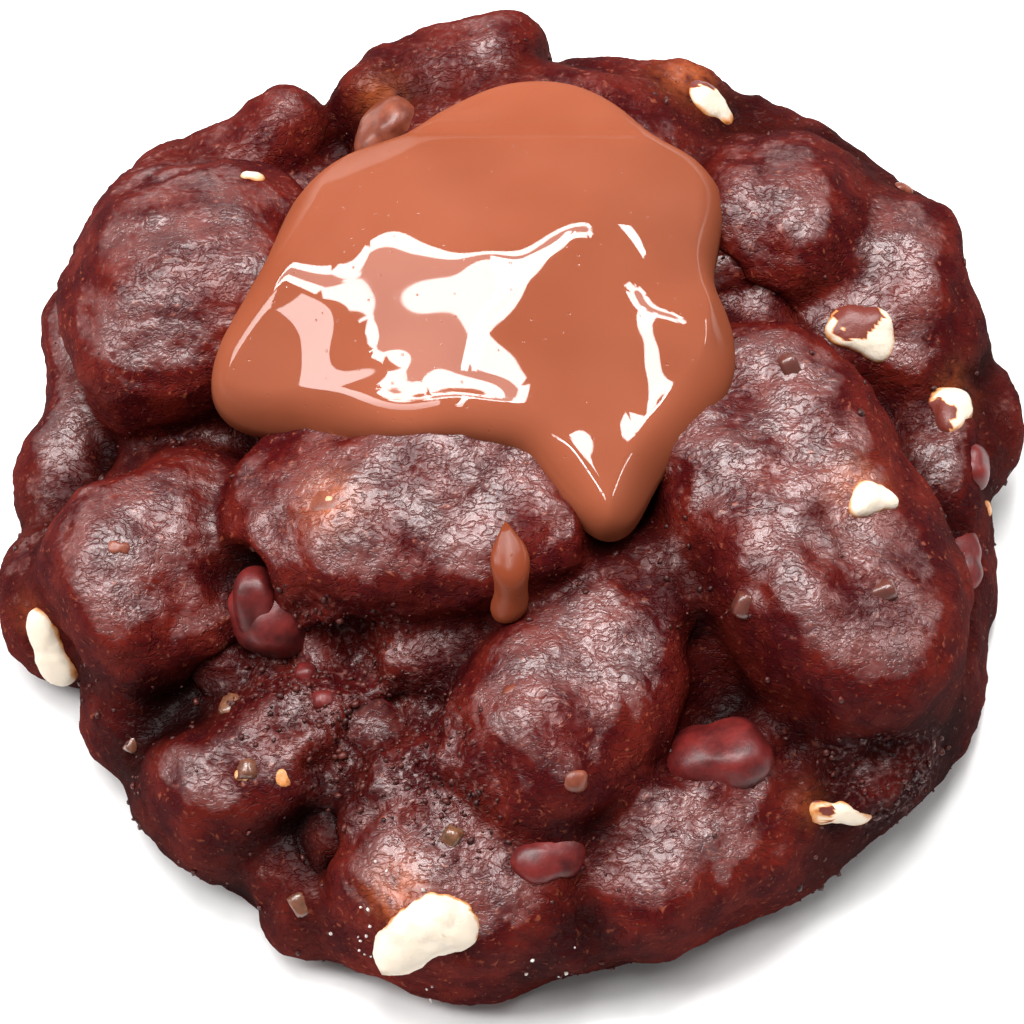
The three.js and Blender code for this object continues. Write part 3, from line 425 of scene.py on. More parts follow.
def disc_grid(cells):
    """Radius (0 to 1, or 0 to -1) and angle of each vertex of a square grid that is bent into
    a disc: r = a, angle = pi/4 b/a where |a| > |b|, else r = b, angle = pi/2 - pi/4 a/b."""
    line = np.linspace(-1, 1, cells + 1)
    b, a = np.meshgrid(-line, line, indexing="ij")
    a, b = a.ravel(), b.ravel()
    wide = np.abs(a) > np.abs(b)
    safe_a = np.where(wide, a, 1)
    safe_b = np.where(b == 0, 1, b)
    radius = np.where(wide, a, b)
    angle = np.where(wide, np.pi / 4 * b / safe_a, np.pi / 2 - np.pi / 4 * a / safe_b)
    return radius, np.where(radius == 0, 0, angle)


def edge_loop(cells):
    """The vertices round the edge of a grid, counter-clockwise seen from above."""
    side = cells + 1
    steps = np.arange(cells)
    return np.concatenate(
        (cells * side + steps, (cells - steps) * side + cells, cells - steps, steps * side)
    )


def grid_quads(cells):
    """The cells of a grid as rows of four vertices, facing up."""
    side = cells + 1
    row, column = np.meshgrid(np.arange(cells), np.arange(cells), indexing="ij")
    corner = (row * side + column).ravel()
    return np.stack((corner, corner + side, corner + side + 1, corner + 1), 1)


def neighbour_mean(values, cells):
    """The mean of each inner vertex's four neighbours, and of an edge vertex's two."""
    net = values.reshape(cells + 1, cells + 1, -1)
    mean = net.copy()
    mean[1:-1, 1:-1] = (net[:-2, 1:-1] + net[2:, 1:-1] + net[1:-1, :-2] + net[1:-1, 2:]) / 4
    mean = mean.reshape(len(values), -1)
    loop = edge_loop(cells)
    edge = values.reshape(len(values), -1)[loop]
    mean[loop] = (np.roll(edge, 1, axis=0) + np.roll(edge, -1, axis=0)) / 2
    return mean.reshape(values.shape)


def finer(values, cells, eased=False):
    """The same net with twice the cells, each new vertex in the middle of its neighbours. Eased,
    old vertices go to (1, 6, 1) / 8 of their row and column, as in cubic B-spline subdivision,
    so that the net has no kinks."""
    net = values.reshape(cells + 1, cells + 1, -1)
    for axis in (0, 1):
        line = np.moveaxis(net, axis, 0)
        long = np.empty((2 * len(line) - 1, *line.shape[1:]))
        long[::2] = line
        if eased:
            long[2:-2:2] = (line[:-2] + 6 * line[1:-1] + line[2:]) / 8
        long[1::2] = (line[1:] + line[:-1]) / 2
        net = np.moveaxis(long, 0, axis)
    return net.reshape(-1, *values.shape[1:])


# ------------ Meshes and materials ------------


def make_piece(name, points, faces, material, replaced=(), attributes=None, smooth=True):
    """Puts points in millimetres and faces of equal size into a mesh that rides on the part."""
    mesh = bpy.data.meshes.new(name)
    points = np.asarray(points, float) * MM
    faces = np.asarray(faces, np.int32)
    mesh.vertices.add(len(points))
    mesh.vertices.foreach_set("co", points.ravel())
    mesh.loops.add(faces.size)
    mesh.loops.foreach_set("vertex_index", faces.ravel())
    mesh.polygons.add(len(faces))
    mesh.polygons.foreach_set("loop_start", np.arange(0, faces.size, faces.shape[1]))
    mesh.polygons.foreach_set("use_smooth", np.full(len(faces), smooth))
    for attribute_name, values in (attributes or {}).items():
        attribute = mesh.attributes.new(attribute_name, "FLOAT", "POINT")
        attribute.data.foreach_set("value", np.asarray(values, np.float32))
    mesh.update(calc_edges=True)
    mesh.validate()
    mesh.materials.append(material)
    piece = bpy.data.objects.new(name, mesh)
    bpy.context.scene.collection.objects.link(piece)
    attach(piece, "root")
    if replaced:
        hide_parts(*replaced)
    return piece


def linear(hex_colour):
    """An sRGB colour such as "4a1512" as linear red, green, blue and alpha."""
    parts = [int(hex_colour[i : i + 2], 16) / 255 for i in (0, 2, 4)]
    return [p / 12.92 if p <= 0.04045 else ((p + 0.055) / 1.055) ** 2.4 for p in parts] + [1.0]


def new_material(name):
    """An empty node material."""
    material = bpy.data.materials.new(name)
    material.use_nodes = True
    material.node_tree.nodes.clear()
    return material


def add_node(material, kind, inputs=None, output=0, stops=None, **settings):
    """Adds one shader node and returns one of its output sockets. An input's value is a number
    or colour, or a socket to link from; stops are the positions and colours of a ramp."""
    tree = material.node_tree
    node = tree.nodes.new("ShaderNode" + kind)
    for name, value in settings.items():
        setattr(node, name, value)
    if stops:
        elements = node.color_ramp.elements
        while len(elements) < len(stops):
            elements.new(0.5)
        for element, (position, colour) in zip(elements, stops):
            element.position = position
            element.color = colour
    for socket, value in (inputs or {}).items():
        if isinstance(value, bpy.types.NodeSocket):
            tree.links.new(value, node.inputs[socket])
        else:
            node.inputs[socket].default_value = value
    return node.outputs[output] if node.outputs else None


def per_metre(size_mm):
    """The scale of a pattern on Object coordinates whose features are size_mm apart."""
    return 1000.0 / size_mm


# The sockets of a Mix node set to colours
MIX_A, MIX_B, MIX_COLOUR = 6, 7, 2


def dough_material(colours):
    """Baked cocoa dough: near-black red-brown crumb with a thin, glossy sugar crust. The crust
    shines grey in fine wrinkles where it catches the light, partly from its coat and partly from a
    lilac-grey sheen painted into its colour; creases and cracks stay dull, and painted shade
    darkens the wrinkle lines and the creases."""
    m = new_material("baked cocoa dough")
    place = add_node(m, "TexCoord", output="Object")
    sheen = add_node(m, "Attribute", output="Fac", attribute_name="sheen")
    crease = add_node(m, "Attribute", output="Fac", attribute_name="crease")
    torn = add_node(m, "Attribute", output="Fac", attribute_name="torn")
    halo = add_node(m, "Attribute", output="Fac", attribute_name="halo")

    # wrinkles: thin lines where a swaying noise passes its middle value
    sway = add_node(
        m, "TexNoise", {"Vector": place, "Scale": per_metre(2.6), "Detail": 2.0}, "Color"
    )
    sway_reach = (0.0014, 0.0014, 0.0014)
    swayed = add_node(
        m, "VectorMath", {0: sway, 1: sway_reach, 2: place}, operation="MULTIPLY_ADD"
    )
    drawn = add_node(m, "VectorMath", {0: swayed, 1: (0.75, 1.4, 1.2)}, operation="MULTIPLY")
    wander = add_node(
        m,
        "TexNoise",
        {"Vector": drawn, "Scale": per_metre(1.3), "Detail": 2.0, "Roughness": 0.6},
    )
    off_middle = add_node(m, "Math", {0: wander, 1: 0.5}, operation="SUBTRACT")
    off_line = add_node(m, "Math", {0: off_middle}, operation="ABSOLUTE")
    wrinkle = add_node(
        m, "MapRange", {"Value": off_line, "From Max": 0.045}, interpolation_type="SMOOTHSTEP"
    )
    grain = add_node(
        m,
        "TexNoise",
        {"Vector": swayed, "Scale": per_metre(0.6), "Detail": 2.0, "Roughness": 0.5},
    )
    patches = add_node(
        m, "TexNoise", {"Vector": place, "Scale": per_metre(4.5), "Detail": 3.0, "Roughness": 0.6}
    )
    off_pore = add_node(m, "TexVoronoi", {"Vector": swayed, "Scale": per_metre(2.8)})
    pore = add_node(
        m,
        "MapRange",
        {"Value": off_pore, "From Min": 0.08, "From Max": 0.2},
        interpolation_type="SMOOTHSTEP",
    )

    # colour: deep red-brown, warmer in patches and specks; painted shade makes it darker along the
    # wrinkle lines and nearly black in creases
    dough_tones = [(0.38, tuple(colours.dough_deep)), (0.62, tuple(colours.dough_warm))]
    tone = add_node(m, "ValToRGB", {"Fac": patches}, stops=dough_tones)
    speck = add_node(
        m, "MapRange", {"Value": grain, "From Min": 0.62, "From Max": 0.74, "To Max": 0.75}
    )
    # painted shade: the colour darkens along the wrinkle lines
    groove_shade = add_node(m, "MapRange", {"Value": wrinkle, "To Min": 0.12, "To Max": 0.0})
    colour = tone
    for share, other in (
        (speck, tuple(colours.dough_speck)),
        (halo, linear("a8542c")),
        (groove_shade, linear("1a0403")),
        # painted shade, nearly black in creases
        (crease, linear("120202")),
    ):
        mixed = {0: share, MIX_A: colour, MIX_B: other}
        colour = add_node(m, "Mix", mixed, MIX_COLOUR, data_type="RGBA")

    # relief: wrinkles, grain and pores
    wrinkled = add_node(m, "Math", {0: wrinkle, 1: 0.35, 2: grain}, operation="MULTIPLY_ADD")
    height = add_node(m, "Math", {0: pore, 1: 0.35, 2: wrinkled}, operation="MULTIPLY_ADD")
    relief = add_node(m, "Bump", {"Height": height, "Distance": 0.00017, "Strength": 1.0})

    # crust: a glossy coat with a ragged edge, thinner in wrinkles and pores, that glints on
    # torn crumb; a share of it also paints a lilac-grey sheen into the colour
    ragged = add_node(m, "Math", {0: patches, 1: 0.9, 2: sheen}, operation="MULTIPLY_ADD")
    frayed = add_node(m, "Math", {0: grain, 1: 0.5, 2: ragged}, operation="MULTIPLY_ADD")
    cover = add_node(
        m,
        "MapRange",
        {"Value": frayed, "From Min": 0.98, "From Max": 1.65},
        interpolation_type="SMOOTHSTEP",
    )
    open_crust = add_node(m, "MapRange", {"Value": wrinkle, "To Min": 0.78, "To Max": 1.0})
    open_pore = add_node(m, "MapRange", {"Value": pore, "To Min": 0.4, "To Max": 1.0})
    whole = add_node(m, "Math", {0: open_crust, 1: open_pore}, operation="MULTIPLY")
    closed = add_node(m, "Math", {0: cover, 1: whole}, operation="MULTIPLY")
    glint = add_node(
        m, "MapRange", {"Value": grain, "From Min": 0.5, "From Max": 0.64, "To Max": 0.7}
    )
    torn_glint = add_node(m, "Math", {0: glint, 1: torn}, operation="MULTIPLY")
    gloss_and_painted_sheen = add_node(m, "Math", {0: closed, 1: torn_glint}, operation="MAXIMUM")
    # painted sheen: a quarter of the gloss share mixes the lilac-grey sheen colour into the base
    painted_sheen = add_node(m, "Math", {0: gloss_and_painted_sheen, 1: 0.25}, operation="MULTIPLY")
    coat = add_node(m, "Math", {0: gloss_and_painted_sheen, 1: 0.70, 2: 0.05}, operation="MULTIPLY_ADD")
    painted_sheen_mix = {0: painted_sheen, MIX_A: colour, MIX_B: tuple(colours.dough_painted_sheen)}
    colour = add_node(m, "Mix", painted_sheen_mix, MIX_COLOUR, data_type="RGBA")
    rough = add_node(m, "MapRange", {"Value": torn, "To Min": 0.6, "To Max": 0.55})
    shader = add_node(
        m,
        "BsdfPrincipled",
        {
            "Base Color": colour,
            "Roughness": rough,
            "Specular IOR Level": 0.0,
            "Coat Weight": coat,
            "Coat Roughness": 0.38,
            "Coat IOR": 1.9,
            "Normal": relief,
            "Coat Normal": relief,
        },
    )
    add_node(m, "OutputMaterial", {"Surface": shader})
    return m


def ganache_material(name, deep, light, gloss, coat_roughness):
    """Milk chocolate ganache: smooth, warm brown, and glossy where it faces the eye, with a few
    pinprick air bubbles."""
    m = new_material(name)
    place = add_node(m, "TexCoord", output="Object")
    clouds = add_node(m, "TexNoise", {"Vector": place, "Scale": per_metre(16.0), "Detail": 2.0})
    tone = add_node(m, "ValToRGB", {"Fac": clouds}, stops=[(0.3, deep), (0.7, light)])
    off_bubble = add_node(m, "TexVoronoi", {"Vector": place, "Scale": per_metre(1.5)})
    bubble = add_node(
        m,
        "MapRange",
        {"Value": off_bubble, "From Min": 0.05, "From Max": 0.1},
        interpolation_type="SMOOTHSTEP",
    )
    relief = add_node(m, "Bump", {"Height": bubble, "Distance": 0.00004, "Strength": 0.6})
    turned_away = add_node(m, "LayerWeight", {"Blend": 0.5}, "Facing")
    facing = add_node(
        m,
        "MapRange",
        {"Value": turned_away, "From Min": 0.3, "From Max": 0.7, "To Min": gloss, "To Max": 0.1},
    )
    set_dull = add_node(m, "Attribute", output="Fac", attribute_name="dull")
    kept = add_node(m, "Math", {0: 1.0, 1: set_dull}, operation="SUBTRACT")
    coat = add_node(m, "Math", {0: facing, 1: kept}, operation="MULTIPLY")
    shader = add_node(
        m,
        "BsdfPrincipled",
        {
            "Base Color": tone,
            "Roughness": 0.5,
            "Specular IOR Level": 0.0,
            "Coat Weight": coat,
            "Coat Roughness": coat_roughness,
            "Coat IOR": 1.45,
            "Subsurface Weight": 0.12,
            "Subsurface Scale": 0.001,
            "Subsurface Radius": (1.0, 0.45, 0.25),
            "Normal": relief,
            "Coat Normal": relief,
        },
    )
    add_node(m, "OutputMaterial", {"Surface": shader})
    return m


def white_chocolate_material(colours):
    """White chocolate: cream, chalky and slightly translucent, browned where it met the hot
    dough and smeared with cocoa."""
    m = new_material("baked white chocolate")
    place = add_node(m, "TexCoord", output="Object")
    edge = add_node(m, "Attribute", output="Fac", attribute_name="edge")
    mottle = add_node(
        m, "TexNoise", {"Vector": place, "Scale": per_metre(1.8), "Detail": 4.0, "Roughness": 0.6}
    )
    browned = add_node(m, "Math", {0: mottle, 1: 0.7, 2: edge}, operation="MULTIPLY_ADD")
    tone = add_node(
        m,
        "ValToRGB",
        {"Fac": browned},
        stops=[
            (0.62, tuple(colours.white_chocolate)),
            (0.78, linear("d0a078")),
            (0.90, tuple(colours.white_browned)),
            (1.0, linear("6a2a20")),
        ],
    )
    relief = add_node(m, "Bump", {"Height": mottle, "Distance": 0.00025, "Strength": 0.8})
    shader = add_node(
        m,
        "BsdfPrincipled",
        {
            "Base Color": tone,
            "Roughness": 0.45,
            "Subsurface Weight": 0.2,
            "Subsurface Scale": 0.001,
            "Subsurface Radius": (1.0, 0.7, 0.4),
            "Normal": relief,
        },
    )
    add_node(m, "OutputMaterial", {"Surface": shader})
    return m


def chocolate_material(name, deep, light, roughness, coat=0.25):
    """Solid chocolate: smooth with a faint waxy bloom and small scuffs."""
    m = new_material(name)
    place = add_node(m, "TexCoord", output="Object")
    bloom = add_node(
        m, "TexNoise", {"Vector": place, "Scale": per_metre(2.6), "Detail": 4.0, "Roughness": 0.6}
    )
    tone = add_node(m, "ValToRGB", {"Fac": bloom}, stops=[(0.32, deep), (0.7, light)])
    relief = add_node(m, "Bump", {"Height": bloom, "Distance": 0.0002, "Strength": 0.7})
    shader = add_node(
        m,
        "BsdfPrincipled",
        {
            "Base Color": tone,
            "Roughness": roughness,
            "Specular IOR Level": 0.35,
            "Coat Weight": coat,
            "Coat Roughness": 0.25,
            "Normal": relief,
        },
    )
    add_node(m, "OutputMaterial", {"Surface": shader})
    return m


def sugar_material(name, colour, roughness):
    """Coarse sugar: clear, flat-faced grains that glint, where no dough covers them."""
    m = new_material(name)
    place = add_node(m, "TexCoord", output="Object")
    cloud = add_node(m, "TexNoise", {"Vector": place, "Scale": per_metre(0.7), "Detail": 2.0})
    shade = [c * 0.45 for c in colour[:3]] + [1.0]
    tone = add_node(m, "ValToRGB", {"Fac": cloud}, stops=[(0.3, shade), (0.7, colour)])
    covered = add_node(m, "Attribute", output="Fac", attribute_name="covered")
    smeared = {0: covered, MIX_A: tone, MIX_B: linear("5a2a24")}
    seen = add_node(m, "Mix", smeared, MIX_COLOUR, data_type="RGBA")
    shader = add_node(
        m,
        "BsdfPrincipled",
        {
            "Base Color": seen,
            "Roughness": roughness,
            "Subsurface Weight": 0.3,
            "Subsurface Scale": 0.0008,
            "Coat Weight": 0.5,
            "Coat Roughness": 0.08,
        },
    )
    add_node(m, "OutputMaterial", {"Surface": shader})
    return m


# ------------ Dough ------------

# The net's cells at first, how often it is evened out at each level and by how much
COARSE_CELLS = 36
EVENING_ROUNDS = (60, 20, 12, 5)
EVENING_SHARE = 0.6
# The disc that the rays come to, the shares of its radius where it ends and where the rays
# start to lean outwards, how far off they start, and the least height above the floor
CORE_RADIUS = 36.0
CORE_HEIGHT = 8.0
FLAT_SHARE = 0.75
TURN_FROM = 0.5
FAR = 70.0
LOWEST = 0.05

# How deep under the soft form the painted shade of a crease starts and is darkest, and how
# much torn crumb hides it
CREASE_DEPTHS = (0.9, 3.8)
CREASE_HIDDEN = 0.7

# The way that faces with the most sheen look, towards the lights, how squarely a face looks
# that way where the sheen starts and is full, and how patchy it is. The sheen sets the coat and
# the painted sheen in the dough's colour
SHEEN_WAY = (-0.12, -0.05, 0.99)
SHEEN_FACING = (0.55, 0.95)
SHEEN_PATCH_SIZE = 5.0
SHEEN_PATCH_OFFSET = 91.3
SHEEN_PATCHINESS = 0.8
# The back rim shines less, in its coat and its painted sheen: from where to where, and by how much
DULL_BACK = (24.0, 40.0)
DULL_BACK_SHARE = 0.4

# Relief that is finer than the part's mesh: sizes, heights and noise offsets of folds, dimples,
# crumb and grain, the heights where the dough is torn, and the values that leave the form as is
FOLD_SIZE = 4.4
FOLD_HEIGHT = 0.55
FOLD_OFFSET = 12.9
FOLD_MIDDLE = 0.35
DIMPLE_SIZE = 2.3
DIMPLE_HEIGHT = 0.38
DIMPLE_OFFSET = 31.7
TORN_DIMPLE_HEIGHT = 0.78
CRUMB_SIZE = 1.3
CRUMB_HEIGHT = 0.16
CRUMB_OFFSET = 71.9
CRUMB_MIDDLE = 0.6
TORN_CRUMB_HEIGHT = 0.55
TORN_GRAIN_SIZE = 0.9
TORN_GRAIN_HEIGHT = 0.30
TORN_GRAIN_OFFSET = 47.1


def settle_on_dough(points, cells):
    """One step back to the dough; the edge of the net stays in the plane of the underside."""
    slope, value = slope_of(dough_distance, points)
    loop = edge_loop(cells)
    slope[loop, 2] = 0
    share = value / np.maximum((slope * slope).sum(axis=1), LEAST_SLOPE)
    points = points - slope * np.clip(share, -1, 1)[:, None]
    heights = np.maximum(points[:, 2], LOWEST)
    heights[loop] = 0
    points[:, 2] = heights
    return points


def dough_net(levels):
    """The upper side of the dough: rays from all round meet the form, and the net is evened
    out, first coarse and then with twice the cells at each level."""
    cells = COARSE_CELLS
    radius, angle = disc_grid(cells)
    out = np.abs(radius)
    side = np.stack((np.cos(angle), np.sin(angle), 0 * angle), 1) * np.sign(radius)[:, None]
    core = side * (CORE_RADIUS * np.minimum(out / FLAT_SHARE, 1))[:, None]
    core[:, 2] = CORE_HEIGHT * (1 - np.clip((out - FLAT_SHARE) / (1 - FLAT_SHARE), 0, 1))
    rise = np.pi / 2 * (1 - smooth_step(out, TURN_FROM, 1))
    way = side * np.cos(rise)[:, None]
    way[:, 2] = np.sin(rise)
    points = meet(dough_distance, core + FAR * way, -way)
    for level in range(levels):
        if level:
            points = finer(points, cells)
            cells *= 2
        for _ in range(EVENING_ROUNDS[level]):
            mean = neighbour_mean(points, cells)
            points = settle_on_dough(points + EVENING_SHARE * (mean - points), cells)
    return points, cells


def net_normals(points, cells):
    """Unit normals of a net from the cross product of its row and column differences."""
    net = points.reshape(cells + 1, cells + 1, 3)
    across = np.gradient(net, axis=1)
    down = np.gradient(net, axis=0)
    normal = np.cross(across, -down)
    normal /= np.maximum(np.linalg.norm(normal, axis=2, keepdims=True), 1e-9)
    return normal.reshape(-1, 3)


def add_underside(points, cells, rings=9):
    """Closes a net with a flat underside: rings that shrink from its edge to the middle."""
    loop = edge_loop(cells)
    edge = points[loop]
    shares = np.linspace(1, 0, rings + 1)[1:-1]
    inner = [edge * share for share in shares]
    middle = len(points) + len(inner) * len(loop)
    all_points = np.concatenate([points, *inner, np.zeros((1, 3))])
    ring_index = [loop]
    for i in range(len(inner)):
        ring_index.append(len(points) + i * len(loop) + np.arange(len(loop)))
    quads = [grid_quads(cells)]
    for outer, inner_ring in zip(ring_index[:-1], ring_index[1:]):
        quads.append(
            np.stack((np.roll(outer, -1), outer, inner_ring, np.roll(inner_ring, -1)), 1)
        )
    last = ring_index[-1]
    pairs = last.reshape(-1, 2)
    following = np.roll(last, -2).reshape(-1, 2)[:, 0]
    quads.append(
        np.stack((following, pairs[:, 1], pairs[:, 0], np.full(len(pairs), middle)), 1)
    )
    return all_points, np.concatenate(quads)


# Cocoa butter that ran out of white chocolate: middles and reaches of orange halos
HALOS = (
    ((31.9, -8.9, 28.4), 2.4),
    ((-10.6, -44.4, 17.5), 2.6),
    ((17.6, 41.2, 21.0), 3.0),
    ((43.9, 8.3, 17.4), 2.0),
    ((-17.0, -10.5, 29.2), 2.7),
    ((-45.0, -12.5, 9.5), 2.0),
    ((27.0, -34.4, 14.0), 1.8),
    ((-13.0, 38.2, 22.3), 2.2),
)
HALO_BREAK_SIZE = 0.9
HALO_BREAK_OFFSET = 21.1


def halo_share(points):
    """How orange each point is: exp(-(distance / reach)^2) of the nearest halo, broken up."""
    share = np.zeros(len(points))
    for at, reach in HALOS:
        away = np.linalg.norm(points - np.array(at), axis=1) / reach
        share = np.maximum(share, np.exp(-away * away))
    broken = sized_noise(points, HALO_BREAK_SIZE, HALO_BREAK_OFFSET)
    return share * np.clip(0.8 + 1.6 * broken, 0, 1)


def fine_relief(points, torn):
    """Height of the fine relief: folds and crumb from |noise|, dimples and grain from noise,
    each times its height, which goes from its whole to its torn value where the dough tears."""
    folds = FOLD_MIDDLE - np.abs(sized_noise(points, FOLD_SIZE, FOLD_OFFSET))
    dimples = sized_noise(points, DIMPLE_SIZE, DIMPLE_OFFSET)
    dimple_height = DIMPLE_HEIGHT + (TORN_DIMPLE_HEIGHT - DIMPLE_HEIGHT) * torn
    ridges = 1 - 2 * np.abs(sized_noise(points, CRUMB_SIZE, CRUMB_OFFSET))
    crumb_height = CRUMB_HEIGHT + (TORN_CRUMB_HEIGHT - CRUMB_HEIGHT) * torn
    grains = sized_noise(points, TORN_GRAIN_SIZE, TORN_GRAIN_OFFSET)
    height = FOLD_HEIGHT * folds + dimple_height * dimples
    height += crumb_height * (ridges - CRUMB_MIDDLE)
    return height + TORN_GRAIN_HEIGHT * torn * grains


def dough_piece(sizes, colours):
    """The baked body with its fine crumb, and how each point shines, creases and tears."""
    levels = 4
    points, cells = dough_net(levels)
    normals = net_normals(points, cells)
    torn = torn_share(points)
    soft = soft_distance(points)
    # crease: how deep a point lies in a crease; it paints shade into the dough's colour and keeps
    # sheen away
    crease = smooth_step(-soft, *CREASE_DEPTHS) * (1 - CREASE_HIDDEN * torn)
    height = fine_relief(points, torn) * sizes.crumb_height
    keep = np.ones(len(points))
    keep[edge_loop(cells)] = 0
    moved = points + normals * (height * keep)[:, None]
    moved[:, 2] = np.maximum(moved[:, 2], np.where(keep > 0, LOWEST, 0))
    # sheen: faces turned to the lights, out of creases; it sets the coat and the painted sheen
    facing_up = smooth_step(net_normals(moved, cells) @ np.array(SHEEN_WAY), *SHEEN_FACING)
    patchy = 1 + sized_noise(points, SHEEN_PATCH_SIZE, SHEEN_PATCH_OFFSET)
    kept = 1 - DULL_BACK_SHARE * smooth_step(moved[:, 1], *DULL_BACK)
    sheen = np.clip(SHEEN_PATCHINESS * facing_up * patchy * (1 - crease) * kept, 0, 1)
    halo = halo_share(moved)
    all_points, quads = add_underside(moved, cells)
    underside = np.zeros(len(all_points) - len(points))
    upper = {"sheen": sheen, "crease": crease, "torn": torn, "halo": halo}
    attributes = {name: np.concatenate((values, underside)) for name, values in upper.items()}
    material = dough_material(colours)
    make_piece("cookie_dough", all_points, quads, material, ("dough",), attributes)
    return moved, net_normals(moved, cells), torn, crease


# ------------ Ganache ------------

# Steps along each stretch of the pool's outline, and points handled at a time
OUTLINE_STEPS = 14
SLICE = 2000
# How the pool's net falls onto the dough: height that it falls from, rounds, longest step and
# share of the distance that it takes
FALL_FROM = 45.0
FALL_ROUNDS = 70
FALL_LONGEST = 3.0
FALL_CARE = 0.8
# How often the pool's net is made finer
POOL_REFININGS = 3
# Where the ganache has set dull: from and to how far behind the crease and how much, how wide
# beside it in widths of the crease, and from and to how far inside the edge
DULL_BEHIND = (0.4, 2.5)
DULL_BEHIND_SHARE = 0.9
DULL_BESIDE = 1.8
DULL_EDGE = (1.0, 3.0)
DRIP_STEPS = 24
DRIP_CELLS = 16


def closed_curve(points, steps):
    """A closed centripetal Catmull-Rom curve through points, by steps along each stretch."""
    p1 = np.asarray(points, float)
    p0, p2, p3 = np.roll(p1, 1, axis=0), np.roll(p1, -1, axis=0), np.roll(p1, -2, axis=0)
    t1 = np.linalg.norm(p1 - p0, axis=1) ** 0.5
    t2 = t1 + np.linalg.norm(p2 - p1, axis=1) ** 0.5
    t3 = t2 + np.linalg.norm(p3 - p2, axis=1) ** 0.5
    share = np.linspace(0, 1, steps, endpoint=False)
    t = t1[:, None] + (t2 - t1)[:, None] * share

    def blend(a, b, from_t, to_t):
        part = ((t - from_t[:, None]) / (to_t - from_t)[:, None])[..., None]
        return a * (1 - part) + b * part

    zero = np.zeros(len(p1))
    a1 = blend(p0[:, None], p1[:, None], zero, t1)
    a2 = blend(p1[:, None], p2[:, None], t1, t2)
    a3 = blend(p2[:, None], p3[:, None], t2, t3)
    b1 = blend(a1, a2, zero, t2)
    b2 = blend(a2, a3, t1, t3)
    return blend(b1, b2, t1, t2).reshape(-1, p1.shape[1])


def pool_flats(cells):
    """The net of the pool seen from above: rays from the centre to the outline, evened."""
    rim = closed_curve(GANACHE_OUTLINE, OUTLINE_STEPS)
    centre = np.array(GANACHE_CENTRE)
    rim_side = rim - centre
    rim_side /= np.linalg.norm(rim_side, axis=1, keepdims=True)
    radius, angle = disc_grid(cells)
    side = np.stack((np.cos(angle), np.sin(angle)), 1) * np.sign(radius)[:, None]
    edge = rim[(side @ rim_side.T).argmax(axis=1)]
    flats = centre + (edge - centre) * np.abs(radius)[:, None]
    fixed = edge_loop(cells)
    for _ in range(OUTLINE_EVENING):
        mean = neighbour_mean(flats, cells)
        mean[fixed] = flats[fixed]
        flats = mean
    return flats


def inset_from(flats, rim):
    """How far each point lies from the outline, worked out in slices to save memory."""
    result = np.empty(len(flats))
    for start in range(0, len(flats), SLICE):
        away = flats[start : start + SLICE, None] - rim[None]
        result[start : start + SLICE] = np.sqrt((away**2).sum(axis=2).min(axis=1))
    return result


def pool_bed(flats, cells):
    """Points and normals of the soft form of the dough under the pool, which clings to the real
    dough near its edge, evened out."""
    inset = inset_from(flats, flats[edge_loop(cells)])
    cling = GANACHE_CLING * (1 - smooth_step(inset, 0, GANACHE_SOFT_WIDTH))
    points = np.column_stack((flats, np.full(len(flats), FALL_FROM)))
    for _ in range(FALL_ROUNDS):
        soft = soft_distance(points)
        gap = soft + np.clip(dough_distance(points) - soft, -cling, cling)
        points[:, 2] -= np.clip(gap, -FALL_LONGEST, FALL_LONGEST) * FALL_CARE
    slope, _ = slope_of(soft_distance, points)
    normals = slope / np.linalg.norm(slope, axis=1, keepdims=True)
    share = np.full(len(points), EVENING_SHARE)
    share[edge_loop(cells)] = EVENING_SHARE / 2
    for _ in range(GANACHE_EVENING):
        heights = points[:, 2:3]
        mean = neighbour_mean(heights, cells)
        points[:, 2:3] = heights + share[:, None] * (mean - heights)
        normals = normals + neighbour_mean(normals, cells)
        normals /= np.linalg.norm(normals, axis=1, keepdims=True)
    return points, normals


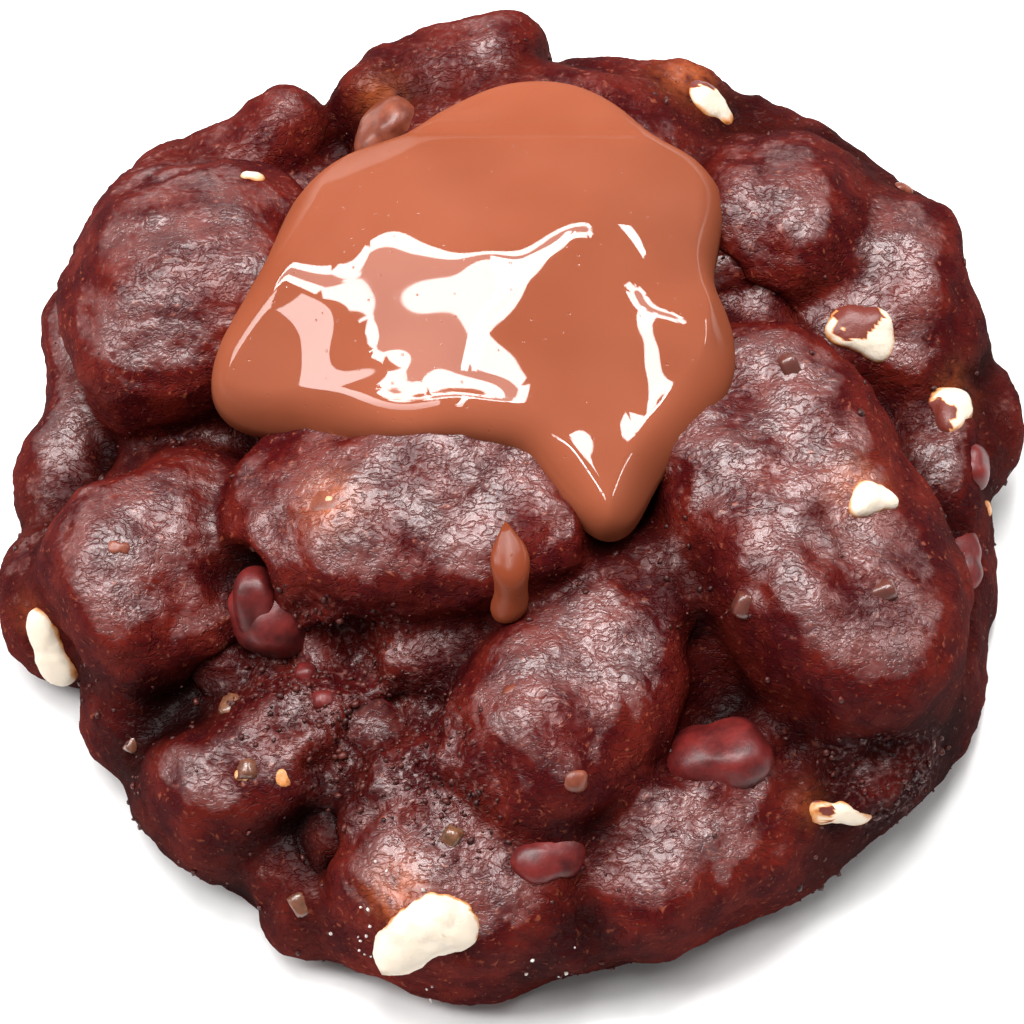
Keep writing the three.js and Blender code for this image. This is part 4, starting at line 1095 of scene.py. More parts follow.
def pool_surfaces():
    """The pool's upper and hidden sides: bed + normal x ((thickness + dip + swell) x round
    - dip), with round = sqrt(1 - (1 - inset / width)^2), on the bed's net made finer, and how
    dull each point has set."""
    cells = GANACHE_CELLS
    flats = pool_flats(cells)
    bed, normals = pool_bed(flats, cells)
    for _ in range(POOL_REFININGS):
        bed = finer(bed, cells, eased=True)
        normals = finer(normals, cells, eased=True)
        cells *= 2
    normals /= np.linalg.norm(normals, axis=1, keepdims=True)
    inset = inset_from(bed[:, :2], bed[edge_loop(cells), :2])
    inset[edge_loop(cells)] = 0
    share = np.minimum(inset / GANACHE_EDGE_WIDTH, 1)
    swell = np.zeros(len(bed))
    for at, reach, height in GANACHE_SWELLS + GANACHE_RIPPLES:
        away = np.linalg.norm(bed[:, :2] - np.array(at), axis=1) / reach
        swell += height * np.exp(-away * away)
    along = bed[:, 0] - CREASE_MIDDLE[0]
    off_line = (bed[:, 1] - CREASE_MIDDLE[1] - CREASE_BOW * along**2) / CREASE_WIDTH
    ends = 1 - smooth_step(np.abs(along), 0.7 * CREASE_HALF_LENGTH, CREASE_HALF_LENGTH)
    swell -= CREASE_DEPTH * ends * np.exp(-off_line * off_line)
    rounded = np.sqrt(1 - (1 - share) ** 2)
    rise = (GANACHE_THICKNESS + GANACHE_EDGE_DIP + swell * share) * rounded
    fall = (GANACHE_HIDDEN_DEPTH - GANACHE_EDGE_DIP) * rounded
    top = bed + normals * (rise - GANACHE_EDGE_DIP)[:, None]
    hidden = bed - normals * (fall + GANACHE_EDGE_DIP)[:, None]
    behind = DULL_BEHIND_SHARE * smooth_step(off_line * CREASE_WIDTH, *DULL_BEHIND)
    beside = ends * np.exp(-((off_line / DULL_BESIDE) ** 2))
    dull = np.max((behind, beside, 1 - smooth_step(inset, *DULL_EDGE)), axis=0)
    return top, hidden, cells, dull


def close_two_nets(top, bottom, cells):
    """Joins two nets of the same cells along their shared edge into a closed skin."""
    loop = edge_loop(cells)
    inner = np.setdiff1d(np.arange(len(bottom)), loop)
    moved = np.empty(len(bottom), int)
    moved[loop] = loop
    moved[inner] = len(top) + np.arange(len(inner))
    quads = grid_quads(cells)
    return (
        np.concatenate((top, bottom[inner])),
        np.concatenate((quads, moved[quads][:, ::-1])),
    )


def ganache_pieces(colours):
    """The pool, and the drip below it: circles along its run whose radius goes with
    sin(pi share)^bluntness and a wave that gives it a waist."""
    deep, light = tuple(colours.ganache_deep), tuple(colours.ganache_light)
    material = ganache_material("glossy milk chocolate ganache", deep, light, 1.0, 0.03)
    top, hidden, cells, dull = pool_surfaces()
    points, quads = close_two_nets(top, hidden, cells)
    dull = np.concatenate((dull, np.ones(len(points) - len(dull))))
    make_piece("ganache_pool", points, quads, material, ("ganache",), {"dull": dull})
    run = settle(dough_distance, np.array(DRIP_RUN), DRIP_LIFT)
    line = open_curve(run, DRIP_STEPS)
    directions, quads = ball(DRIP_CELLS)
    share = np.arccos(np.clip(directions[:, 2], -1, 1)) / np.pi
    fullness = np.maximum(np.sin(np.pi * share), 1e-6) ** (DRIP_BLUNTNESS - 1)
    waist = 1 + DRIP_WAIST * np.cos(2 * np.pi * (share - DRIP_KNOT) / DRIP_WAVE)
    middle = sample(line, share)
    points = middle + directions * (1, 1, 0) * (DRIP_RADIUS * fullness * waist)[:, None]
    # painted shade: the drip gets darker tones than the pool, as it hangs below the pool's lip
    deep, light = linear("6e3019"), linear("7c3b26")
    material = ganache_material("settled milk chocolate ganache", deep, light, 0.35, 0.25)
    make_piece("ganache_drop", points, quads, material, ("ganache_drip",))


def curve_between(a, b, c, d, t):
    """Catmull-Rom curve from b (t = 0) to c (t = 1), with a before and d after them."""
    square = 2 * a - 5 * b + 4 * c - d
    cube = 3 * b - a - 3 * c + d
    return 0.5 * (2 * b + (c - a) * t + square * t**2 + cube * t**3)


def open_curve(points, steps):
    """An open Catmull-Rom curve through points, with its ends mirrored."""
    first = 2 * points[0] - points[1]
    last = 2 * points[-1] - points[-2]
    padded = np.concatenate(([first], points, [last]))
    t = np.linspace(0, 1, steps, endpoint=False)[:, None]
    parts = [curve_between(*four, t) for four in zip(padded, padded[1:], padded[2:], padded[3:])]
    return np.concatenate([*parts, [points[-1]]])


def sample(line, share):
    """Points of a line at shares 0 to 1 of its length in steps."""
    place = share * (len(line) - 1)
    low = np.minimum(place.astype(int), len(line) - 2)
    part = (place - low)[:, None]
    return line[low] * (1 - part) + line[low + 1] * part


def ball(cells):
    """Unit directions over a closed ball: two disc grids, one for each half, that share their
    edge, with the angle from the pole 90 degrees x radius."""
    radius, angle = disc_grid(cells)
    polar = np.pi / 2 * np.abs(radius)
    side = np.sin(polar) * np.sign(radius)
    top = np.stack((side * np.cos(angle), side * np.sin(angle), np.cos(polar)), 1)
    bottom = top * (1, 1, -1)
    return close_two_nets(top, bottom, cells)


# ------------ Chips ------------


def turn_towards(normal):
    """The matrix that turns +Z to a normal by the shortest way."""
    x, y, z = normal
    cross = np.array(((0, 0, x), (0, 0, y), (-x, -y, 0)))
    return np.eye(3) + cross + cross @ cross / (1 + z)


def reach_at(angle, reaches):
    """A closed Catmull-Rom curve through reaches that are given at even angles."""
    reaches = np.array(reaches)
    place = angle / (2 * np.pi) * len(reaches)
    low = np.floor(place).astype(int)
    four = (reaches[(low + step) % len(reaches)] for step in (-1, 0, 1, 2))
    return curve_between(*four, place - low)


# The cells of a chip's and a small bit's half ball, and their small waves: heights, and the
# size, offset and share of the two noises
CHIP_CELLS = 22
BIT_CELLS = 12
WAVE_HEIGHT = 0.10
WHITE_WAVE_HEIGHT = 0.14
BIT_WAVE_HEIGHT = 0.06
WAVES = ((0.9, 11.3, 1.0), (2.2, 23.7, 0.8))


def pebble(place, normal, reaches, rise, order, cells=CHIP_CELLS, wave_height=WAVE_HEIGHT):
    """An uneven pebble: direction x (1 + unevenness) over its 2.8-norm, times the reach round a
    normal and the rise along it, with small waves."""
    directions, quads = ball(cells)
    total = (np.abs(directions) ** CHIP_SQUARENESS).sum(axis=1)
    shift = np.array((order * CHIP_OFFSET, 0, 0))
    uneven = 1 + CHIP_UNEVENNESS * noise(directions * CHIP_UNEVEN_SIZE + shift)
    reach = reach_at(np.arctan2(directions[:, 1], directions[:, 0]), reaches)
    half = np.stack((reach, reach, np.full(len(reach), rise)), 1)
    local = directions * (uneven / total ** (1 / CHIP_SQUARENESS))[:, None] * half
    points = local @ turn_towards(normal).T + place
    waves = sum(share * sized_noise(points, size, offset) for size, offset, share in WAVES)
    outward = points - place
    outward /= np.linalg.norm(outward, axis=1, keepdims=True)
    return points + outward * (wave_height * waves)[:, None], quads


def chip_points(chip, order, cells=CHIP_CELLS, wave_height=WAVE_HEIGHT):
    """A pebble that is sunk into the dough, with its height along the dough's own slope."""
    at, reaches, rise, depth = chip
    place = settle(dough_distance, np.array([at]), -depth)
    slope, _ = slope_of(dough_distance, place)
    normal = slope[0] / np.linalg.norm(slope[0])
    return pebble(place[0], normal, reaches, rise, order, cells, wave_height)


def join(parts):
    """Several meshes of points and faces as one."""
    starts = np.cumsum([0] + [len(points) for points, _ in parts[:-1]])
    faces = [faces + start for (_, faces), start in zip(parts, starts)]
    return np.concatenate([points for points, _ in parts]), np.concatenate(faces)


# How far off the dough a chip's edge reaches, and how brown the edge of a chip and of a bit is
EDGE_REACH = 0.9
CHIP_BROWNING = 0.62
BIT_BROWNING = 0.55


def edge_of(points):
    """How near to the dough each point of a chip lies: 1 at the dough, 0 past the edge."""
    return 1 - smooth_step(dough_distance(points), 0.0, EDGE_REACH)


# How high the waves of the roughest white chips are, in millimetres
CHALKINESS = {"front": 0.34, "left": 0.20}
# Where dough is smeared over a white chip: middle and reach
SMEARS = {
    "shoulder": ((33.2, 13.0, 23.0), 2.5),
    "right": ((41.1, 4.6, 18.4), 2.0),
    "sliver": ((29.2, -35.0, 14.0), 1.0),
    "back": ((18.9, 41.0, 22.0), 1.6),
}
SMEAR_RAGGEDNESS = 1.2
SMEAR_SIZE = 0.8
SMEAR_OFFSET = 61.9
SMEAR_FADE = 0.5


def smear_share(name, points):
    """How much dough is smeared over each point of a chip, with a ragged edge."""
    if name not in SMEARS:
        return np.zeros(len(points))
    at, reach = SMEARS[name]
    inside = reach - np.linalg.norm(points - np.array(at), axis=1)
    ragged = SMEAR_RAGGEDNESS * sized_noise(points, SMEAR_SIZE, SMEAR_OFFSET)
    return smooth_step(inside + ragged, 0.0, SMEAR_FADE)


def white_chip_pieces(colours):
    """The white chocolate chips and pieces, browned where they meet the dough."""
    material = white_chocolate_material(colours)
    for order, (name, chip) in enumerate(WHITE_CHIPS.items()):
        waves = CHALKINESS.get(name, WHITE_WAVE_HEIGHT)
        points, quads = chip_points(chip, order, wave_height=waves)
        edge = np.maximum(CHIP_BROWNING * edge_of(points), smear_share(name, points))
        title, replaced = f"white_chocolate_{name}", (f"white_chip_{name}",)
        attributes = {"edge": edge}
        make_piece(title, points, quads, material, replaced, attributes)
    small_pieces("white_chocolate_bits", SMALL_WHITE, material)


def dark_chip_pieces(colours):
    """The dark and milk chocolate chips; one dark chip has its tip beside it."""
    dark = chocolate_material(
        "dark chocolate", tuple(colours.dark_deep), tuple(colours.dark_light), 0.44, 0.12
    )
    milk = chocolate_material("milk chocolate", linear("5a2417"), linear("8e4c36"), 0.42)
    first = len(WHITE_CHIPS)
    for order, (name, chip) in enumerate(DARK_CHIPS.items()):
        parts = [chip_points(chip, first + order)]
        if name in TIPS:
            at, way, width, length = TIPS[name]
            way = np.array(way) / np.linalg.norm(way)
            parts.append(pebble(np.array(at), way, (width,), length, first + order))
        points, quads = join(parts)
        title, replaced = f"dark_chocolate_{name}", (f"dark_chip_{name}",)
        make_piece(title, points, quads, dark, replaced)
    first += len(DARK_CHIPS)
    for order, (name, chip) in enumerate(MILK_CHIPS.items()):
        points, quads = chip_points(chip, first + order)
        title, replaced = f"milk_chocolate_{name}", (f"milk_chip_{name}",)
        make_piece(title, points, quads, milk, replaced)
    small_pieces("milk_chocolate_bits", SMALL_MILK, milk)
    small_pieces("dark_chocolate_bits", SMALL_DARK, dark)


# ------------ Crumbs and sugar ------------

GOLDEN = (1 + 5**0.5) / 2
GRAIN_CORNERS = np.array(
    [
        (-1, GOLDEN, 0), (1, GOLDEN, 0), (-1, -GOLDEN, 0), (1, -GOLDEN, 0),
        (0, -1, GOLDEN), (0, 1, GOLDEN), (0, -1, -GOLDEN), (0, 1, -GOLDEN),
        (GOLDEN, 0, -1), (GOLDEN, 0, 1), (-GOLDEN, 0, -1), (-GOLDEN, 0, 1),
    ]
) / np.hypot(1, GOLDEN)  # fmt: skip
GRAIN_FACES = np.array(
    [
        (0, 11, 5), (0, 5, 1), (0, 1, 7), (0, 7, 10), (0, 10, 11),
        (1, 5, 9), (5, 11, 4), (11, 10, 2), (10, 7, 6), (7, 1, 8),
        (3, 9, 4), (3, 4, 2), (3, 2, 6), (3, 6, 8), (3, 8, 9),
        (4, 9, 5), (2, 4, 11), (6, 2, 10), (8, 6, 7), (9, 8, 1),
    ]
)  # fmt: skip


def random_turns(random, count):
    """Random turn matrices, from unit quaternions (w, x, y, z)."""
    q = random.normal(size=(count, 4))
    w, x, y, z = (q / np.linalg.norm(q, axis=1, keepdims=True)).T
    rows = [
        (1 - 2 * (y * y + z * z), 2 * (x * y - z * w), 2 * (x * z + y * w)),
        (2 * (x * y + z * w), 1 - 2 * (x * x + z * z), 2 * (y * z - x * w)),
        (2 * (x * z - y * w), 2 * (y * z + x * w), 1 - 2 * (x * x + y * y)),
    ]
    return np.array(rows).transpose(2, 0, 1)


def scatter(corners, faces, places, sizes, turns, jitter):
    """Copies of one small shape: corners x jitter x size, turned, at each place."""
    copies = corners[None] * sizes[:, None, :] * jitter
    copies = np.einsum("nij,nkj->nki", turns, copies) + places[:, None]
    index = faces[None] + (np.arange(len(places)) * len(corners))[:, None, None]
    return copies.reshape(-1, 3), index.reshape(-1, faces.shape[1])


# Small pieces in the dough: a point near the surface, the reach every 90 degrees, the height
# and the depth of the middle; their unevenness is counted on from the chips'
FIRST_BIT = 20
SMALL_WHITE = (
    ((-25.4, 25.3, 28.4), (1.5, 0.6, 1.0, 0.6), 0.7, 0.2),
    ((48.2, -2.4, 12.0), (0.5, 0.9, 0.5, 0.9), 0.6, 0.2),
    ((-20.4, -33.3, 16.8), (1.7, 1.0, 1.5, 0.9), 0.7, 0.45),
    ((-24.9, -32.9, 17.0), (1.1, 0.6, 0.9, 0.6), 0.6, 0.35),
    ((-17.0, -10.5, 29.2), (0.8, 0.6, 0.9, 0.7), 0.7, 0.45),
)
SMALL_MILK = (
    ((-17.6, -10.5, 29.2), (1.9, 1.4, 1.8, 1.5), 0.8, 0.55),
    ((39.0, 30.4, 18.3), (1.1, 0.6, 1.1, 0.6), 0.7, 0.2),
    ((-36.6, -12.7, 23.7), (1.1, 0.5, 1.2, 0.5), 0.6, 0.3),
    ((5.7, -36.4, 23.7), (1.3, 1.0, 1.1, 1.2), 1.0, 0.4),
    ((-0.2, -28.2, 25.4), (0.9, 0.7, 0.8, 0.7), 0.7, 0.4),
)
SMALL_DARK = (
    ((-19.4, -22.2, 17.0), (1.0, 1.4, 0.9, 1.4), 1.1, 0.2),
    ((-17.7, -25.6, 17.9), (1.3, 1.0, 1.0, 0.9), 0.9, 0.2),
)
# Amber sugar crystals, as in the part: places, size, sides and how deep they sit
CRYSTALS = (
    (-36.1, -26.9, 10.6), (-5.5, -39.6, 18.1), (-19.9, -42.9, 9.9), (-26.5, -24.8, 15.0),
    (-24.7, -32.5, 17.2), (34.2, -19.2, 27.9), (26.1, 3.6, 29.7), (21.1, -20.2, 26.7),
)  # fmt: skip
# How much dough covers each crystal
CRYSTALS_COVERED = (0.35, 0.0, 0.3, 0.2, 0.4, 0.85, 0.9, 0.85)
CRYSTAL_CELLS = 8
CRYSTAL_SQUARENESS = 9.0
CRYSTAL_SIZE = 1.7
CRYSTAL_SIDES = (1.0, 1.2, 0.9)
CRYSTAL_SINK = 0.35
CRYSTAL_SEED = 7
# White sugar: middles of small patches
SPARKLES = ((-12.5, -46.3, 15.0), (-13.3, -47.0, 10.0), (-10.4, -48.9, 5.6), (4.1, -48.7, 9.4))
# Crumbs lie above a height, and the more where the dough is torn or creased; most are small
CRUMBS_FROM = 3.0
CRUMBS_ANYWHERE, CRUMBS_IN_TORN, CRUMBS_IN_CREASES = 0.004, 1.5, 0.10
CRUMB_RADIUS = (0.10, 0.42)
CRUMB_SMALLNESS = 2.5
CRUMB_SIDES = (0.6, 1.4)
CRUMB_JITTER = (0.65, 1.25)
CRUMB_DRIFT = 0.2
# Grains of sugar: how many points of the dough make a patch, and how high the grains lie
PATCH_POINTS = 400
SPARKLE_RADIUS = (0.10, 0.22)
SPARKLE_SIDES = (0.7, 1.4)
SPARKLE_JITTER = (0.8, 1.2)
SPARKLE_LIFT = 0.08


def small_pieces(name, chips, material):
    """Several small pebbles joined into one piece."""
    parts = [
        chip_points(chip, order, BIT_CELLS, BIT_WAVE_HEIGHT)
        for order, chip in enumerate(chips, FIRST_BIT)
    ]
    points, quads = join(parts)
    edge = BIT_BROWNING * edge_of(points)
    make_piece(name, points, quads, material, (), {"edge": edge})


def crystal_piece():
    """The part's sugar crystals: blocks of random size, turned about X, Y and Z at random."""
    state = CRYSTAL_SEED
    draws = []
    for _ in range(4 * len(CRYSTALS)):
        state = state * RANDOM_FACTOR % RANDOM_RANGE
        draws.append(state / RANDOM_RANGE)
    size, *angles = np.array(draws).reshape(-1, 4).T
    (cx, cy, cz), (sx, sy, sz) = np.cos(np.pi * np.array(angles)), np.sin(np.pi * np.array(angles))
    rows = [
        (cy * cz, -cy * sz, sy),
        (cx * sz + sx * sy * cz, cx * cz - sx * sy * sz, -sx * cy),
        (sx * sz - cx * sy * cz, sx * cz + cx * sy * sz, cx * cy),
    ]
    turns = np.array(rows).transpose(2, 0, 1)
    sides = (CRYSTAL_SIZE * (0.8 + 0.4 * size))[:, None] * np.array(CRYSTAL_SIDES)
    places = settle(dough_distance, np.array(CRYSTALS), -CRYSTAL_SINK)
    directions, quads = ball(CRYSTAL_CELLS)
    total = (np.abs(directions) ** CRYSTAL_SQUARENESS).sum(axis=1, keepdims=True)
    block = directions / total ** (1 / CRYSTAL_SQUARENESS) / 2
    points, faces = scatter(block, quads, places, sides, turns, 1.0)
    covered = np.repeat(CRYSTALS_COVERED, len(block))
    material = sugar_material("amber sugar crystal", linear("7d5238"), 0.35)
    make_piece("sugar_crystals", points, faces, material, (), {"covered": covered})


def crumb_pieces(sizes, net):
    """Loose crumbs in the torn places and creases, and fine white sugar."""
    points, normals, torn, crease = net
    random = np.random.default_rng(sizes.seed)
    shown = (points[:, 2] > CRUMBS_FROM) & ~under_pool(points)
    weight = shown * (CRUMBS_ANYWHERE + CRUMBS_IN_TORN * torn + CRUMBS_IN_CREASES * crease)
    count = sizes.crumbs
    chosen = random.choice(len(points), count, replace=False, p=weight / weight.sum())
    smallest, largest = CRUMB_RADIUS
    radius = smallest + (largest - smallest) * random.random((count, 1)) ** CRUMB_SMALLNESS
    size = radius * random.uniform(*CRUMB_SIDES, (count, 3))
    jitter = random.uniform(*CRUMB_JITTER, (count, len(GRAIN_CORNERS), 1))
    drift = random.normal(scale=CRUMB_DRIFT, size=(count, 3))
    drift -= normals[chosen] * (drift * normals[chosen]).sum(axis=1, keepdims=True)
    places = points[chosen] + drift
    turns = random_turns(random, count)
    crumbs, faces = scatter(GRAIN_CORNERS, GRAIN_FACES, places, size, turns, jitter)
    material = chocolate_material("cocoa crumb", linear("220504"), linear("54190f"), 0.5, 0.1)
    make_piece("dough_crumbs", crumbs, faces, material)

    middles = np.array(SPARKLES)
    away = ((points[None] - middles[:, None]) ** 2).sum(axis=2)
    nearest = np.argsort(away, axis=1)[:, :PATCH_POINTS]
    count = sizes.sparkles
    patch = random.integers(0, len(middles), count)
    chosen = nearest[patch, random.integers(0, PATCH_POINTS, count)]
    radius = random.uniform(*SPARKLE_RADIUS, (count, 1))
    size = radius * random.uniform(*SPARKLE_SIDES, (count, 3))
    jitter = random.uniform(*SPARKLE_JITTER, (count, len(GRAIN_CORNERS), 1))
    turns = random_turns(random, count)
    places = points[chosen] + normals[chosen] * SPARKLE_LIFT
    grains, faces = scatter(GRAIN_CORNERS, GRAIN_FACES, places, size, turns, jitter)
    material = sugar_material("white sugar", linear("e6dcd8"), 0.2)
    make_piece("sugar_grains", grains, faces, material, smooth=False)


def under_pool(points):
    """Whether each point lies within the pool's outline, by its winding number's parity."""
    rim = np.array(GANACHE_OUTLINE)
    following = np.roll(rim, -1, axis=0)
    x, y = points[:, 0, None], points[:, 1, None]
    crosses = (rim[:, 1] > y) != (following[:, 1] > y)
    rise = following[:, 1] - rim[:, 1]
    at = rim[:, 0] + (y - rim[:, 1]) * (following[:, 0] - rim[:, 0]) / np.where(rise == 0, 1, rise)
    return (crosses & (x < at)).sum(axis=1) % 2 == 1


# ------------ Stage ------------

CAMERA_ELEVATION = 62.0
CAMERA_DISTANCE = 0.400
CAMERA_TARGET = (0.0, 0.0, 0.007)
FOCAL_PIXELS = 4060.0
IMAGE_PIXELS = 1024.0
SENSOR_WIDTH = 36.0


def add_camera():
    """The camera at the photograph's viewing angle."""
    elevation = np.radians(CAMERA_ELEVATION)
    away = Vector((0, -np.cos(elevation), np.sin(elevation))) * CAMERA_DISTANCE
    data = bpy.data.cameras.new("camera")
    data.sensor_width = SENSOR_WIDTH
    data.lens = SENSOR_WIDTH * FOCAL_PIXELS / IMAGE_PIXELS
    data.clip_start = 0.01
    camera = bpy.data.objects.new("camera", data)
    camera.location = Vector(CAMERA_TARGET) + away
    camera.rotation_euler = (-away).to_track_quat("-Z", "Y").to_euler()
    bpy.context.scene.collection.objects.link(camera)
    bpy.context.scene.camera = camera


# The lights lie on planes at one distance from a point in the cookie. The frame light has its
# elevation and azimuth in degrees, half width, half height, thickness and corner radius
LIGHT_DISTANCE = 1.0
LIGHT_TARGET = (0.0, 0.0, 0.02)
FRAME_LIGHT = (70.9, -9.6, 0.431, 0.0862, 0.0781, 0.0802)
FRAME_RADIANCE = 26.0
# Where a corner's strip lies and how long it is, as shares of the corner's radius
CORNER_CUT = 0.36
CORNER_LENGTH = 1.25
PANEL_RADIANCE = 3.5
# Plain rectangles: elevation and azimuth in degrees, half width, half height, radiance
BOX_LIGHTS = {
    "bar_right": (86.6, 21.5, 0.015, 0.307, 26.0),
    "bar_middle": (88.8, 9.0, 0.035, 0.352, 26.0),
    "bar_low": (39.7, 66.9, 0.242, 0.028, 26.0),
    "left": (50.6, -91.3, 0.122, 0.391, 13.0),
}
WORLD_STRENGTH = 0.22


def light_axes(elevation, azimuth):
    """The axes of a light seen from the cookie: its side, its up, and the way to it."""
    rise, turn = np.radians(elevation), np.radians(azimuth)
    way = Vector((np.cos(rise) * np.sin(turn), np.cos(rise) * np.cos(turn), np.sin(rise)))
    side = Vector((np.cos(turn), -np.sin(turn), 0))
    return side, way.cross(side), way


def add_light(name, axes, across, up, size, radiance, roll=0.0):
    """A rectangular area light that faces the cookie, shifted across and up on its plane, and
    rolled in it."""
    data = bpy.data.lights.new(name, "AREA")
    data.shape = "RECTANGLE"
    data.size, data.size_y = size
    data.energy = radiance * size[0] * size[1] * np.pi
    light = bpy.data.objects.new(name, data)
    side, rise, way = axes
    place = Vector(LIGHT_TARGET) + way * LIGHT_DISTANCE + side * across + rise * up
    turn = Matrix((side, rise, way)).transposed().to_4x4() @ Matrix.Rotation(roll, 4, "Z")
    light.matrix_world = Matrix.Translation(place) @ turn
    bpy.context.scene.collection.objects.link(light)


def add_frame_light():
    """Bright strips along the sides and round the corners of a dim panel, which show as a
    bright loop on the ganache."""
    elevation, azimuth, half_width, half_height, thick, corner = FRAME_LIGHT
    axes = light_axes(elevation, azimuth)
    wide = 2 * (half_width - corner)
    high = 2 * (half_height - corner)
    for way in (-1, 1):
        add_light(f"strip_{way}", axes, 0, way * half_height, (wide, thick), FRAME_RADIANCE)
        add_light(f"side_{way}", axes, way * half_width, 0, (thick, high), FRAME_RADIANCE)
        for rise in (-1, 1):
            across = way * (half_width - corner * CORNER_CUT)
            up = rise * (half_height - corner * CORNER_CUT)
            size = (corner * CORNER_LENGTH, thick)
            roll = -way * rise * np.pi / 4
            add_light(f"corner_{way}_{rise}", axes, across, up, size, FRAME_RADIANCE, roll)
    inside = (2 * half_width - thick, 2 * half_height - thick)
    add_light("panel", axes, 0, 0, inside, PANEL_RADIANCE)


# The floor's half width in metres and the paper's grain in millimetres
FLOOR_HALF = 2.0
PAPER_GRAIN = 10 / 3


def stage_floor():
    """A plain pale floor, matt, with a faint grain of paper."""
    material = new_material("pale paper floor")
    place = add_node(material, "TexCoord", output="Object")
    grain = add_node(
        material, "TexNoise", {"Vector": place, "Scale": per_metre(PAPER_GRAIN), "Detail": 3.0}
    )
    tones = [(0.3, linear("f2f1f0")), (0.7, linear("f6f5f4"))]
    tone = add_node(material, "ValToRGB", {"Fac": grain}, stops=tones)
    shader = add_node(
        material,
        "BsdfPrincipled",
        {"Base Color": tone, "Roughness": 0.9, "Specular IOR Level": 0.1},
    )
    add_node(material, "OutputMaterial", {"Surface": shader})
    half = FLOOR_HALF
    corners = [(-half, -half, 0), (half, -half, 0), (half, half, 0), (-half, half, 0)]
    mesh = bpy.data.meshes.new("floor")
    mesh.from_pydata(corners, [], [(0, 1, 2, 3)])
    mesh.materials.append(material)
    floor = bpy.data.objects.new("floor", mesh)
    bpy.context.scene.collection.objects.link(floor)


def add_world(scene):
    """Faint white light from all round, and colours shown as they are."""
    world = bpy.data.worlds.new("studio")
    world.use_nodes = True
    background = world.node_tree.nodes["Background"]
    background.inputs["Color"].default_value = (1, 1, 1, 1)
    background.inputs["Strength"].default_value = WORLD_STRENGTH
    scene.world = world
    scene.view_settings.view_transform = "Standard"


# ------------ Add-on ------------


class CookieSizes(PropertyGroup):
    """Sizes and counts that can be changed."""

    crumb_height: FloatProperty(
        name="Crumb height",
        description="How strongly the fine crumb of the dough stands out",
        default=1.0,
        min=0.0,
        max=2.0,
    )
    crumbs: IntProperty(
        name="Crumbs", description="How many loose crumbs lie on the dough", default=1300, min=0
    )
    sparkles: IntProperty(
        name="Sugar grains", description="How many white sugar grains show", default=26, min=0
    )
    seed: IntProperty(name="Seed", description="Start of the random draws", default=5)


def colour_property(name, description, hex_colour):
    """A colour with a default given as sRGB."""
    return FloatVectorProperty(
        name=name,
        description=description,
        subtype="COLOR",
        size=4,
        min=0.0,
        max=1.0,
        default=linear(hex_colour),
    )


class CookieColours(PropertyGroup):
    """Colours that can be changed."""

    dough_deep: colour_property("Dough, deep", "Darkest tone of the crust", "3e0a0c")
    dough_warm: colour_property("Dough, warm", "Warm tone of the crust", "5e1a13")
    dough_speck: colour_property("Dough specks", "Small orange-brown specks", "8a4530")
    # a lilac-grey sheen painted into the dough's colour where faces turn to the lights
    dough_painted_sheen: colour_property("Dough, painted sheen", "Lilac-grey sheen painted on the crust", "7a524e")
    ganache_deep: colour_property("Ganache, deep", "Darker tone of the ganache", "82422b")
    ganache_light: colour_property("Ganache, light", "Lighter tone of the ganache", "914f38")
    white_chocolate: colour_property("White chocolate", "Clean white chocolate", "d9cbb8")
    white_browned: colour_property("Browned white", "Where white chocolate browned", "c07a3c")
    dark_deep: colour_property("Dark chocolate, deep", "Darker tone of dark chips", "3e0b0b")
    dark_light: colour_property("Dark chocolate, light", "Lighter tone of dark chips", "6f1f1c")


# The dough's points, normals, tears and creases, kept for the operator that scatters crumbs
NET = {}


class COOKIE_OT_dough(Operator):
    """Builds the lumpy baked dough"""

    bl_idname = "cookie.dough"
    bl_label = "Dough"

    def execute(self, context):
        scene = context.scene
        NET["dough"] = dough_piece(scene.cookie_sizes, scene.cookie_colours)
        return {"FINISHED"}


class COOKIE_OT_ganache(Operator):
    """Builds the pool of ganache and its drip"""

    bl_idname = "cookie.ganache"
    bl_label = "Ganache"

    def execute(self, context):
        ganache_pieces(context.scene.cookie_colours)
        return {"FINISHED"}


class COOKIE_OT_white_chips(Operator):
    """Builds the white chocolate chips"""

    bl_idname = "cookie.white_chips"
    bl_label = "White chips"

    def execute(self, context):
        white_chip_pieces(context.scene.cookie_colours)
        return {"FINISHED"}


class COOKIE_OT_dark_chips(Operator):
    """Builds the dark and milk chocolate chips"""

    bl_idname = "cookie.dark_chips"
    bl_label = "Dark and milk chips"

    def execute(self, context):
        dark_chip_pieces(context.scene.cookie_colours)
        return {"FINISHED"}


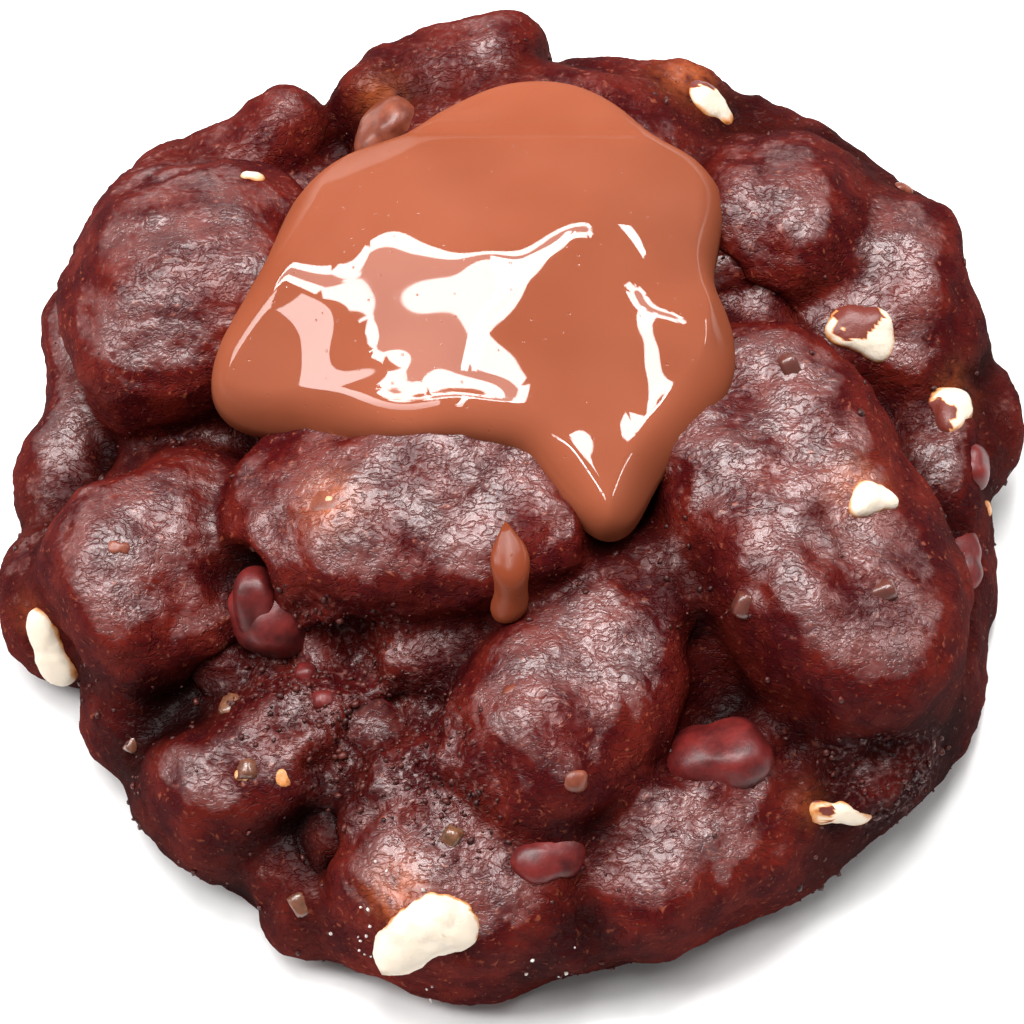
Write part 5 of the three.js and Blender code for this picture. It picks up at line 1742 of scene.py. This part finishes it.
class COOKIE_OT_crumbs(Operator):
    """Scatters crumbs and sugar over the dough"""

    bl_idname = "cookie.crumbs"
    bl_label = "Crumbs and sugar"

    def execute(self, context):
        scene = context.scene
        crystal_piece()
        crumb_pieces(scene.cookie_sizes, NET["dough"])
        return {"FINISHED"}


class COOKIE_OT_stage(Operator):
    """Sets up the floor, the lights and the camera"""

    bl_idname = "cookie.stage"
    bl_label = "Stage"

    def execute(self, context):
        stage_floor()
        add_camera()
        add_frame_light()
        for name, (elevation, azimuth, half_width, half_height, radiance) in BOX_LIGHTS.items():
            size = (2 * half_width, 2 * half_height)
            add_light(f"box_{name}", light_axes(elevation, azimuth), 0, 0, size, radiance)
        add_world(context.scene)
        return {"FINISHED"}


OPERATORS = (
    COOKIE_OT_dough,
    COOKIE_OT_ganache,
    COOKIE_OT_white_chips,
    COOKIE_OT_dark_chips,
    COOKIE_OT_crumbs,
    COOKIE_OT_stage,
)


class COOKIE_PT_panel(Panel):
    """Lists the pieces of the cookie"""

    bl_idname = "COOKIE_PT_panel"
    bl_label = "Triple chocolate cookie"
    bl_space_type = "VIEW_3D"
    bl_region_type = "UI"
    bl_category = "Cookie"

    def draw(self, context):
        for group in (context.scene.cookie_sizes, context.scene.cookie_colours):
            for name in type(group).__annotations__:
                self.layout.prop(group, name)
        for operator in OPERATORS:
            self.layout.operator(operator.bl_idname)


CLASSES = (CookieSizes, CookieColours, *OPERATORS, COOKIE_PT_panel)


def register():
    for cls in CLASSES:
        bpy.utils.register_class(cls)
    bpy.types.Scene.cookie_sizes = PointerProperty(type=CookieSizes)
    bpy.types.Scene.cookie_colours = PointerProperty(type=CookieColours)


def unregister():
    del bpy.types.Scene.cookie_sizes
    del bpy.types.Scene.cookie_colours
    for cls in reversed(CLASSES):
        bpy.utils.unregister_class(cls)


def main():
    """Builds the cookie and its stage."""
    register()
    bpy.ops.cookie.dough()
    bpy.ops.cookie.ganache()
    bpy.ops.cookie.white_chips()
    bpy.ops.cookie.dark_chips()
    bpy.ops.cookie.crumbs()
    bpy.ops.cookie.stage()


if __name__ == "__main__":
    main()
